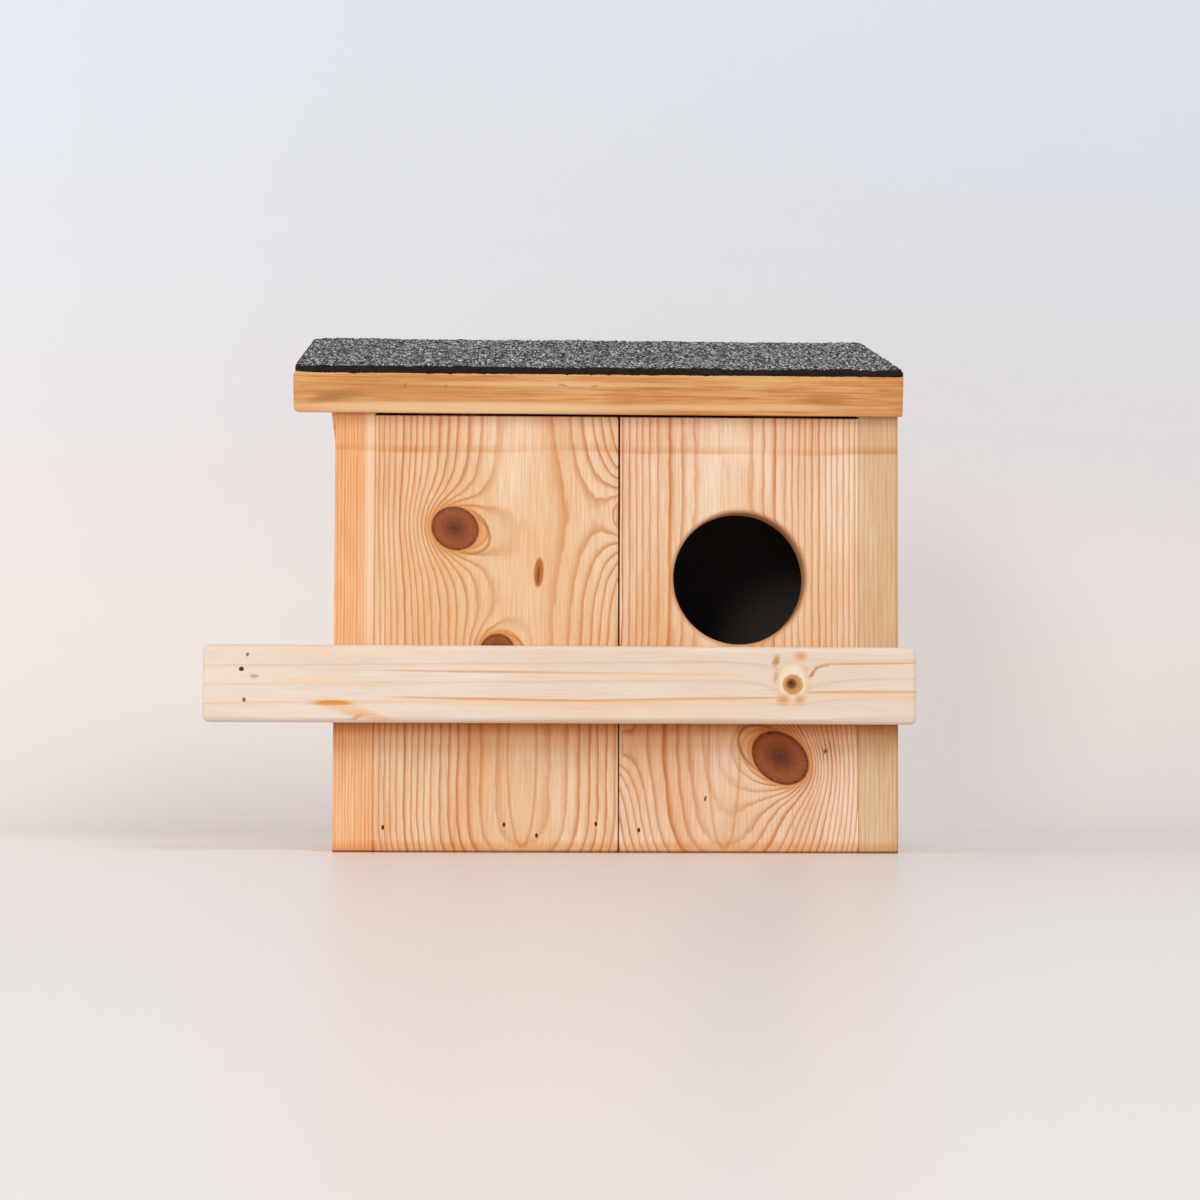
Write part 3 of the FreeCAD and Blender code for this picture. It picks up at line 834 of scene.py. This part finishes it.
RUST, BROWN, AMBER = "DB9650", "BC7A34", "DDA066"
BAR_MARKS = (
    # late wood that surfaces as single amber lines, each above a soft glow
    (73.6, -35.0, 2.2, 72.0, 0.9, "EBC79F", 0.6, 1.0), (75.5, -45.0, 0.65, 62.0, 0.9, AMBER, 0.95, 0.9),
    (76.2, 36.0, 0.75, 46.0, -1.2, "D9974F", 0.95, 0.8), (74.6, 30.0, 2.0, 50.0, -1.2, "EBC79F", 0.6, 1.0),
    (88.9, -30.0, 0.55, 88.0, 0.5, AMBER, 0.85, 1.0), (87.6, 20.0, 1.6, 60.0, 0.5, "EECFAC", 0.6, 1.0),
    (79.9, 121.0, 0.8, 32.0, -0.5, "DA9B58", 0.9, 0.9), (77.9, 122.0, 2.0, 34.0, -0.5, "EBCAA4", 0.6, 1.0),
    (94.0, 125.0, 0.6, 24.0, -1.0, "D39B62", 0.9, 0.9), (92.4, 124.0, 1.4, 24.0, -1.0, "EFD0AF", 0.5, 1.0),
    # a line that hooks down towards the knot
    (93.0, 102.3, 0.6, 2.4, -7.0, "D09A5E", 0.85, 0.9), (92.3, 99.2, 0.6, 2.2, -19.0, "CB9050", 0.85, 0.9),
    (90.9, 96.9, 0.7, 1.9, -46.0, "C48643", 0.85, 0.9), (88.6, 95.3, 0.9, 2.1, -57.0, "BC7A34", 0.85, 0.9),
    # broad faint bands
    (98.0, -120.0, 1.6, 60.0, 0.5, "EFD3B2", 0.5, 1.0), (84.0, -150.0, 1.6, 26.0, 0.0, "EFD0AB", 0.5, 1.0),
    (69.0, 40.0, 1.6, 90.0, 0.0, "EFD3B2", 0.45, 1.0),
    # the knot: a pale collar with rusty flecks around an amber heart
    (84.7, 85.7, 10.2, 7.9, 0.0, "E2B684", 0.75, 0.7),
    (84.7, 85.7, 8.8, 6.7, 0.0, "F0DDC6", 0.9, 0.5),
    (83.5, 85.9, 5.0, 5.0, 0.0, "CF9450", 0.95, 0.25), (83.6, 85.6, 4.2, 4.2, 0.0, "C48743", 0.8, 0.5),
    (83.9, 85.2, 2.5, 2.5, 0.0, "6A3D1A", 0.95, 0.6), (84.2, 85.0, 1.1, 1.0, 0.0, "3E2210", 0.9, 0.6),
    (95.1, 77.6, 2.6, 1.6, 20.0, BROWN, 0.85, 1.4), (97.4, 89.9, 1.8, 3.0, 0.0, RUST, 0.9, 1.7),
    (75.9, 81.3, 2.2, 2.8, -20.0, RUST, 0.9, 1.7),
    (76.2, 89.3, 2.0, 2.4, 0.0, RUST, 0.8, 1.7), (87.5, 77.4, 3.0, 1.0, 10.0, RUST, 0.7, 1.6),
    # a resin streak and its faint neighbours, then pin knots at the left end
    (73.6, -139.7, 1.8, 11.0, 0.0, "E7AE6A", 0.8, 1.0), (73.6, -139.7, 1.2, 8.5, 0.0, "D98A30", 0.95, 0.7),
    (70.2, -131.0, 1.7, 12.0, 8.0, "E8B98A", 0.7, 1.0),
    (67.4, -123.0, 1.5, 12.0, 8.0, "E6B385", 0.8, 1.0), (66.8, -128.0, 1.0, 3.0, -25.0, "D79A5E", 0.7, 1.0),
    (86.4, -178.3, 1.0, 2.0, 0.0, "CF9560", 0.8, 0.8),
    (97.1, -181.7, 1.0, 0.7, 20.0, "7A4A30", 0.9, 0.8), (90.0, -184.6, 1.1, 1.3, 0.0, "4A2412", 1.0, 0.5),
    (75.0, -183.2, 1.1, 0.9, -20.0, "6A3A20", 0.9, 0.8),
)


class NESTING_OT_perch_bar(bpy.types.Operator):
    """Perch bar: a rounded rectangle carried along X, its ends drawn in by the arris"""
    bl_idname = "nesting.perch_bar"
    bl_label = "Perch Bar"

    def execute(self, context):
        boards = context.scene.nesting_boards
        lo, hi = node_box("perch_bar")
        bar = plank("perch_bar", rectangle(lo[0], hi[0], lo[2], hi[2]), boards.bar_arris + 0.2,
                    boards.bar_arris, hi[1] - lo[1], facing_front(lo[1]), "box")
        dress(bar, pine(
            "Planed spruce bar", axes=(2, 1, 0), heart=20.0, heart_depth=118.0, heart_lean=0.014,
            ring=9.0, wave=2.0, wave_length=190.0, contrast=0.34, sharpness=2.6, uneven=0.8, ripple=0.1,
            fibre=0.3, early="E9DACC", late="DC9A55", broad="F6E9D8", band=False, stain_inside=False,
            bends=((84.7, 85.7, 8.0, 9.0, 0.0, -4.5, 1.1),),
            stains=BAR_MARKS))
        return {"FINISHED"}


class NESTING_OT_hanging_batten(bpy.types.Operator):
    """Batten across the rear with one end out of square"""
    bl_idname = "nesting.hanging_batten"
    bl_label = "Hanging Batten"

    def execute(self, context):
        boards = context.scene.nesting_boards
        lo, hi = node_box("hanging_batten")
        points = node_points("hanging_batten")
        low_x = points[points[:, 2] < lo[2] + 1][:, 0].min()
        corners = [(low_x, lo[2]), (hi[0], lo[2]), (hi[0], hi[2]), (lo[0], hi[2])]
        batten = plank("hanging_batten", corners, 1.2, boards.arris, hi[1] - lo[1], facing_front(lo[1]),
                       "box")
        cut(batten, hang_bores() + recesses("batten_screws"))
        dress(batten, pine("Planed pine hanging_batten", axes=(2, 1, 0), heart=260.0, heart_depth=-150.0,
                           ring=2.8, early="E9B884", late="C98A4E", band=False, stain_inside=False))
        return {"FINISHED"}


HONEY, PALE, SHADE = "C58240", "ECC496", "A0703A"
ROOF_MARKS = (
    # honey patches and pale streaks along the front edge, and darker flecks
    (229.5, -95.0, 5.5, 60.0, 0.0, HONEY, 0.5, 1.0), (220.8, -75.0, 2.6, 84.0, 0.0, PALE, 0.8, 1.0),
    (226.5, -138.0, 2.6, 12.0, -4.0, SHADE, 0.55, 1.0), (224.6, -146.0, 1.6, 9.0, -8.0, SHADE, 0.45, 1.0),
    (232.5, -40.0, 1.2, 60.0, 0.0, PALE, 0.5, 1.0),
    (225.5, 105.0, 4.0, 10.0, 0.0, "AE7636", 0.5, 1.0), (226.0, 2.0, 3.5, 9.0, 0.0, HONEY, 0.6, 1.0),
    (230.8, 18.0, 0.9, 10.0, 0.0, "A8712F", 0.6, 1.0), (222.0, 60.0, 1.6, 55.0, 0.0, PALE, 0.6, 1.0),
    (231.5, -106.0, 1.3, 0.6, 35.0, SHADE, 0.6, 0.8), (231.0, -86.0, 1.2, 0.5, 35.0, SHADE, 0.6, 0.8),
    (232.2, -28.0, 0.5, 2.6, 10.0, SHADE, 0.6, 0.9), (231.8, -12.0, 0.5, 2.0, -10.0, SHADE, 0.6, 0.9),
)


class NESTING_OT_roof_boards(bpy.types.Operator):
    """Both roof boards and the cleats under them, drawn level and turned to the slope"""
    bl_idname = "nesting.roof_boards"
    bl_label = "Roof Boards"

    def execute(self, context):
        boards = context.scene.nesting_boards
        for node in ("roof_board_front", "roof_board_rear", "roof_cleat_left", "roof_cleat_right"):
            level = levelled(node)
            lo, hi = level.min(0), level.max(0)

            def place(q, depth, lo=lo):
                flat = np.stack([q[:, 0], Y_REAR + np.full(len(q), lo[1] + depth), REAR_H + q[:, 1]], 1)
                return on_slope(flat)

            is_board = node.startswith("roof_board")
            # a board's left end was rounded over, its right end left square
            radii = np.array([3.0, 0.9, 0.9, 1.6]) if is_board else 1.0
            piece = plank(node, rectangle(lo[0], hi[0], lo[2], hi[2]), radii, boards.arris, hi[1] - lo[1],
                          place, "roof")
            if is_board:
                dress(piece, self.roof_pine(node))
            else:
                heart = math.copysign(85.0, lo[0])
                cut(piece, self.cleat_recesses(lo, hi))
                dress(piece, pine("Planed pine " + node, axes=(0, 2, 1), heart=heart, heart_depth=-290.0,
                                  ring=2.6, band=False, stain_inside=False))
        return {"FINISHED"}

    def cleat_recesses(self, lo, hi):
        """Countersinks around the cleat screws, square to the cleat's lower face."""
        flat = levelled("cleat_screws")
        rims = flat[flat[:, 2] < flat[:, 2].min() + MARGIN]
        centres = [c for c in clusters(rims, SCREW_GAP) if lo[0] < c[0] < hi[0]]
        normal = (0, -math.sin(SLOPE), math.cos(SLOPE))
        starts = on_slope(np.array(centres) + (0, Y_REAR, REAR_H))
        return [tube(start, normal, COUNTERSINK, columns=32) for start in starts]

    def roof_pine(self, node):
        """Amber pine, its grain running along the roof's front edge."""
        return pine(
            "Weathered pine " + node, axes=(2, 1, 0), heart=150.0, heart_depth=130.0, ring=2.8, wave=5.0,
            wave_length=140.0, early="E2AF72", late="B97B3C", broad="E9C99E", contrast=0.38, fibre=0.75,
            fibre_tone="DDAD78", band=False, roughness=0.5, stain_inside=False, stains=ROOF_MARKS)


class NESTING_OT_roofing_felt(bpy.types.Operator):
    """Roofing felt: a grid of mineral chips with a black rolled edge"""
    bl_idname = "nesting.roofing_felt"
    bl_label = "Roofing Felt"

    def execute(self, context):
        felt = context.scene.nesting_felt
        flat = levelled("roofing_felt")
        lo, hi = flat.min(0), flat.max(0)
        rng = np.random.default_rng(felt.seed)
        pitch = 0.85           # grid spacing, a little over half a chip
        sunk = 0.35            # the chips' mean height is this far under the CAD sheet's top
        swell = 0.35           # slow unevenness of the sheet, in millimetres
        nx = int((hi[0] - lo[0]) / pitch)
        ny = int((hi[1] - lo[1]) / pitch)
        x, y = np.meshgrid(np.linspace(lo[0], hi[0], nx), np.linspace(lo[1], hi[1], ny))
        x, y = self.round_corners(x, y, lo, hi)
        chips = rng.random((ny, nx))
        chips = (2 * chips + np.roll(chips, 1, 0) + np.roll(chips, 1, 1)) / 4
        coarse = self.smooth_noise(rng, nx, ny, cells=26)
        lift = (chips - 0.5) * 2 * felt.relief + coarse * swell
        jitter = 0.25 * pitch
        x = x + rng.uniform(-jitter, jitter, x.shape)
        y = y + rng.uniform(-jitter, jitter, y.shape)
        grid = np.stack([x, y, hi[2] - sunk + lift], -1)
        rim = self.rim_indices(nx, ny)
        edge = grid.reshape(-1, 3)[rim]
        middle = (lo[:2] + hi[:2]) / 2
        outwards = edge[:, :2] - middle
        outwards = np.sign(outwards) * (np.abs(outwards) > hi[:2] - middle - 3)
        ragged = self.smooth_ring(rng, len(rim), width=5) * 0.22
        thick = hi[2] - lo[2]
        loops = []
        # the tar is squeezed out over the boards in a thin uneven lip: (share of the
        # thickness, how far out), ragged below the chips and uneven where it hangs over
        for share, out in ((0.18, 0.35), (0.45, 0.60), (1.02, 0.65), (1.16, 0.45), (1.0, 0.1)):
            ring = edge.copy()
            ring[:, :2] += outwards * (out + ragged[:, None] * (share > 0.3))
            ring[:, 2] = hi[2] - sunk - share * (thick - sunk) - 0.6 * ragged * (share > 1)
            loops.append(ring)
        all_points = np.concatenate([grid.reshape(-1, 3)] + loops)
        i = np.arange(ny - 1)[:, None] * nx + np.arange(nx - 1)[None, :]
        faces = np.stack([i, i + 1, i + nx + 1, i + nx], -1).reshape(-1, 4).tolist()
        start = nx * ny
        count = len(rim)
        k = np.arange(count)
        following = np.roll(k, -1)
        faces += np.stack([rim, start + k, start + following, rim[following]], -1).tolist()
        faces += band_faces(len(loops), count, start)
        last = start + (len(loops) - 1) * count
        faces += [list(range(last, last + count))]
        smooth = np.arange(len(faces)) < len(faces) - 1
        sheet = make_piece("roofing_felt_mineral", on_slope(all_points + (0, Y_REAR, REAR_H)), faces, smooth,
                           "roof", ["roofing_felt"])
        face_outwards(sheet)
        black = np.zeros(len(all_points))
        black[start:] = 1.0
        black[rim] = 1.0
        # tar smeared a chip's width over the front edge
        smear = np.arange(start).reshape(ny, nx)[1:3]
        black[smear] = (rng.random(smear.shape) < [[0.75], [0.3]]) * 1.0
        sheet.data.attributes.new("cut_edge", "FLOAT", "POINT").data.foreach_set("value", black)
        dress(sheet, mineral_felt(felt))
        return {"FINISHED"}

    def round_corners(self, x, y, lo, hi):
        """Map each corner square to a quarter disc: a point keeps its direction from the
        square's inner corner and takes the larger of its two offsets as its distance.
        The left front corner was trimmed round, the right one is nearly square."""
        for sx, sy, radius in ((-1, -1, 12.0), (1, -1, 2.5), (-1, 1, 6.0), (1, 1, 5.0)):
            ex = lo[0] + radius if sx < 0 else hi[0] - radius
            ey = lo[1] + radius if sy < 0 else hi[1] - radius
            a, b = (x - ex) * sx, (y - ey) * sy
            inside = (a > 0) & (b > 0)
            shrink = np.maximum(a, b) / np.maximum(np.hypot(a, b), 1e-9)
            x = np.where(inside, ex + sx * a * shrink, x)
            y = np.where(inside, ey + sy * b * shrink, y)
        return x, y

    def smooth_noise(self, rng, nx, ny, cells):
        """Random heights on a coarse lattice, interpolated linearly onto the grid."""
        lattice = rng.uniform(-1, 1, (cells, cells))
        u = np.linspace(0, cells - 1.001, nx)
        v = np.linspace(0, cells - 1.001, ny)
        i, j = u.astype(int), v.astype(int)
        fu, fv = (u - i)[None, :], (v - j)[:, None]
        a = lattice[j][:, i] * (1 - fu) + lattice[j][:, i + 1] * fu
        b = lattice[j + 1][:, i] * (1 - fu) + lattice[j + 1][:, i + 1] * fu
        return a * (1 - fv) + b * fv

    def smooth_ring(self, rng, count, width):
        """Random values around a loop, averaged over a few neighbours."""
        values = rng.uniform(-1, 1, count)
        return sum(np.roll(values, k) for k in range(width)) / width ** 0.5

    def rim_indices(self, nx, ny):
        """Grid indices around the border, anticlockwise."""
        bottom = np.arange(nx - 1)
        right = np.arange(ny - 1) * nx + nx - 1
        top = (ny - 1) * nx + np.arange(nx - 1, 0, -1)
        left = np.arange(ny - 1, 0, -1) * nx
        return np.concatenate([bottom, right, top, left])


def mineral_felt(felt):
    """Mineral-faced bitumen felt: slate chips pressed into tar. The eye sees a salt and
    pepper of greys with a few blue, green and pink chips, and a black tarry cut edge."""
    material, node, shader, coords = new_material("Mineral bitumen felt")
    chips = node("TexVoronoi", inputs={"Vector": coords, "Scale": 1 / (felt.grit * MM)})
    pick = node("SeparateXYZ", chips.outputs["Color"])
    tone = node("ValToRGB", pick.outputs[0], stops=[
        (0.0, "35322F"), (0.20, "73706C"), (0.5, "A5A29D"), (0.8, "CBC8C3"), (0.93, "E6E3DE"), (1.0, "F6F4F0")])
    tint = node("ValToRGB", pick.outputs[1], stops=[
        (0.0, "A9BCE0"), (0.10, "FFFFFF"), (0.84, "FFFFFF"), (0.94, "BFD6C6"), (1.0, "E8CFC8")])
    colour = node("MixRGB", 0.6, tone, tint, blend_type="MULTIPLY")
    patches = node("TexNoise", inputs={"Vector": coords, "Scale": 28.0, "Detail": 3.0})
    patches = node("ValToRGB", patches, stops=[(0.3, 0.80), (0.7, 1.0)])
    colour = node("MixRGB", 0.8, colour, patches, blend_type="MULTIPLY")
    # gaps between chips show tar
    gap = node("MapRange", chips.outputs["Distance"], 0.42, 0.63, 0.0, 0.95)
    colour = node("MixRGB", gap, colour, linear("1E1B19"))
    edge = node("Attribute", attribute_name="cut_edge").outputs["Fac"]
    tar = node("TexNoise", inputs={"Vector": coords, "Scale": 900.0, "Detail": 3.0})
    tar_tone = node("ValToRGB", tar, stops=[(0.3, "120D0B"), (0.75, "2C211C")])
    colour = node("MixRGB", edge, colour, tar_tone)
    height = node("Math", chips.outputs["Distance"], -1.0, tar, operation="MULTIPLY_ADD")
    bump = node("Bump", inputs={"Height": height, "Strength": 0.9, "Distance": 0.0006})
    set_inputs(shader, {"Base Color": colour, "Normal": bump, "Roughness": 0.85,
                              "Specular IOR Level": 0.2})
    return material


# ---- operators: metal ----------------------------------------------------------------
def zinc_steel():
    """Zinc-plated steel, barrel polished: a soft grey shine with faint cloudy spangle
    and finely scuffed highlights."""
    material, node, shader, coords = new_material("Zinc plated steel")
    cloud = node("TexNoise", inputs={"Vector": coords, "Scale": 420.0, "Detail": 4.0})
    tone = node("ValToRGB", cloud, stops=[(0.3, "A9A9A4"), (0.7, "D2D2CC")])
    scuff = node("TexNoise", inputs={"Vector": coords, "Scale": 1600.0, "Detail": 2.0})
    rough = node("MapRange", scuff, 0.3, 0.7, 0.28, 0.45)
    bump = node("Bump", inputs={"Height": scuff, "Strength": 0.15, "Distance": 0.00005})
    set_inputs(shader, {"Base Color": tone, "Roughness": rough, "Normal": bump, "Metallic": 1.0})
    return material


def wire_steel():
    """Plain drawn steel wire, dulled and lightly rusted in the wood's damp."""
    material, node, shader, coords = new_material("Drawn steel wire")
    rust = node("TexNoise", inputs={"Vector": coords, "Scale": 900.0, "Detail": 4.0})
    tone = node("ValToRGB", rust, stops=[(0.35, "4A4542"), (0.65, "5E3B28")])
    rough = node("MapRange", rust, 0.3, 0.7, 0.45, 0.7)
    set_inputs(shader, {"Base Color": tone, "Roughness": rough, "Metallic": 0.8})
    return material


class NESTING_OT_brads(bpy.types.Operator):
    """Brads, punched under the surface of each board"""
    bl_idname = "nesting.brads"
    bl_label = "Brads"

    def execute(self, context):
        steel = wire_steel()
        for node in BRADS:
            centres, direction = heads(node)
            points, faces = join_tubes([tube(c, direction, BRAD, columns=12) for c in centres])
            nails = make_piece(node + "_wire", points, faces, [True] * len(faces),
                               "box", [node])
            face_outwards(nails)
            dress(nails, steel)
        return {"FINISHED"}


class NESTING_OT_hinges_and_screws(bpy.types.Operator):
    """Zinc finish for the hinges and every screw"""
    bl_idname = "nesting.hinges_and_screws"
    bl_label = "Hinges and Screws"

    def execute(self, context):
        zinc = zinc_steel()
        for name, node in frame["nodes"].items():
            if name.startswith("hinge") or name.endswith("screws"):
                dress(node, zinc)
        return {"FINISHED"}


# ---- operator: stage -----------------------------------------------------------------
def paper_white():
    """Smooth pale card of a photo table: warm where it lies flat, cooler where it rises,
    satin enough to mirror what stands on it in a blur, and see-through from behind."""
    material, node, shader, coords = new_material("Satin pale card")
    height = node("SeparateXYZ", coords).outputs[2]
    rise = node("MapRange", height, 0.0, 0.45)
    warm, cool = "E8DFD8", "DBDFE4"
    tone = node("ValToRGB", rise, stops=[(0.0, warm), (0.25, warm), (1.0, cool)])
    rough = node("MapRange", height, 0.01, 0.10, 0.32, 0.60)
    set_inputs(shader, {"Base Color": tone, "Roughness": rough, "Specular IOR Level": 0.4})
    back = node("NewGeometry").outputs["Backfacing"]
    clear = node("BsdfTransparent")
    both = node("MixShader", back, shader, clear)
    output = next(n for n in material.node_tree.nodes if n.type == "OUTPUT_MATERIAL")
    set_inputs(output, {"Surface": both})
    return material


class NESTING_OT_stage(bpy.types.Operator):
    """Seamless floor and backdrop, soft lights and the camera"""
    bl_idname = "nesting.stage"
    bl_label = "Stage"

    def execute(self, context):
        scene = context.scene
        stage = scene.nesting_stage
        self.sweep()
        self.light("key", stage.key_watts, (1.25, -2.32, 2.35), (0.0, -0.08, 0.12), 1.5, "EFF5FF")
        self.light("fill", stage.fill_watts, (-0.72, -2.70, 0.76), (0.0, 0.0, 0.12), 0.5, "FBF8F4")
        self.light("wall", stage.wall_watts, (-1.15, -0.35, 0.55), (-0.42, 0.32, 0.03), 0.5, "F4F6FA")
        world = bpy.data.worlds.new("room")
        world.use_nodes = True
        background = world.node_tree.nodes["Background"]
        set_inputs(background, {"Color": linear("F7F6F8"), "Strength": stage.world})
        scene.world = world
        scene.view_settings.view_transform = "Standard"
        self.camera(scene, stage)
        return {"FINISHED"}

    def sweep(self):
        """Floor that curves up into a backdrop: a line, a quarter circle, a line,
        carried across X. The table goes on behind it, for the views from the rear."""
        back, radius, tall, front, rear, half = 260, 240, 2600, -5000, 5000, 4500
        turn = np.linspace(0, math.pi / 2, 24)
        y = np.concatenate([[front], back + radius * np.sin(turn), [back + radius]])
        z = np.concatenate([[0], radius * (1 - np.cos(turn)), [tall]])
        points = [(x, *place) for place in zip(y, z) for x in (-half, half)]
        i = np.arange(len(y) - 1) * 2
        faces = np.stack([i, i + 1, i + 3, i + 2], -1).tolist() + [list(range(len(points), len(points) + 4))]
        points += [(*corner, 0) for corner in rectangle(-half, half, back, rear)]
        floor = mesh_object("sweep", np.array(points), faces, [True] * len(faces))
        floor.data.materials.append(paper_white())

    def light(self, name, watts, place, target, size, tint):
        """Square area light aimed at a point."""
        data = bpy.data.lights.new(name, "AREA")
        data.energy = watts
        data.size = size
        data.color = linear(tint)[:3]
        lamp = new_object(name, data)
        aim = Vector(target) - Vector(place)
        lamp.matrix_world = Matrix.Translation(place) @ aim.to_track_quat("-Z", "Y").to_matrix().to_4x4()

    def camera(self, scene, stage):
        """Camera a little left of the middle and low, turned slightly right and up."""
        data = bpy.data.cameras.new("camera")
        data.lens = stage.lens
        data.sensor_width = 36.0
        camera = new_object("camera", data)
        across, height = -0.0636, 0.0547
        place = Vector((across, Y_FRONT * MM - stage.distance, height))
        yaw, pitch, roll = (math.radians(degrees) for degrees in (2.175, 2.80, 0.211))
        forward = Vector((math.sin(yaw) * math.cos(pitch), math.cos(yaw) * math.cos(pitch), math.sin(pitch)))
        right = Vector((math.cos(yaw), -math.sin(yaw), 0.0))
        up = right.cross(forward)
        turned_right = right * math.cos(roll) + up * math.sin(roll)
        turned_up = up * math.cos(roll) - right * math.sin(roll)
        basis = Matrix((turned_right, turned_up, -forward)).transposed()
        camera.matrix_world = Matrix.Translation(place) @ basis.to_4x4()
        scene.camera = camera


# ---- add-on --------------------------------------------------------------------------
PIECE_OPERATORS = (
    NESTING_OT_side_walls, NESTING_OT_front_boards, NESTING_OT_back_boards, NESTING_OT_floor,
    NESTING_OT_perch_bar, NESTING_OT_hanging_batten, NESTING_OT_roof_boards, NESTING_OT_roofing_felt,
    NESTING_OT_brads, NESTING_OT_hinges_and_screws, NESTING_OT_stage,
)


class NESTING_PT_panel(bpy.types.Panel):
    """Sidebar panel with the settings and a button for each piece"""
    bl_label = "Nesting Box"
    bl_space_type = "VIEW_3D"
    bl_region_type = "UI"
    bl_category = "Nesting Box"

    def draw(self, context):
        for group in (context.scene.nesting_boards, context.scene.nesting_felt, context.scene.nesting_stage):
            column = self.layout.column()
            for key in group.__annotations__:
                column.prop(group, key)
        for operator in PIECE_OPERATORS:
            self.layout.operator(operator.bl_idname)


GROUPS = {"nesting_boards": BoardSettings, "nesting_felt": FeltSettings, "nesting_stage": StageSettings}
CLASSES = tuple(GROUPS.values()) + PIECE_OPERATORS + (NESTING_PT_panel,)


def register():
    for cls in CLASSES:
        bpy.utils.register_class(cls)
    for name, group in GROUPS.items():
        setattr(bpy.types.Scene, name, bpy.props.PointerProperty(type=group))


def unregister():
    for name in GROUPS:
        delattr(bpy.types.Scene, name)
    for cls in reversed(CLASSES):
        bpy.utils.unregister_class(cls)


def main():
    """Build every piece and the stage."""
    register()
    for operator in PIECE_OPERATORS:
        group, name = operator.bl_idname.split(".")
        getattr(getattr(bpy.ops, group), name)()


if __name__ == "__main__":
    main()
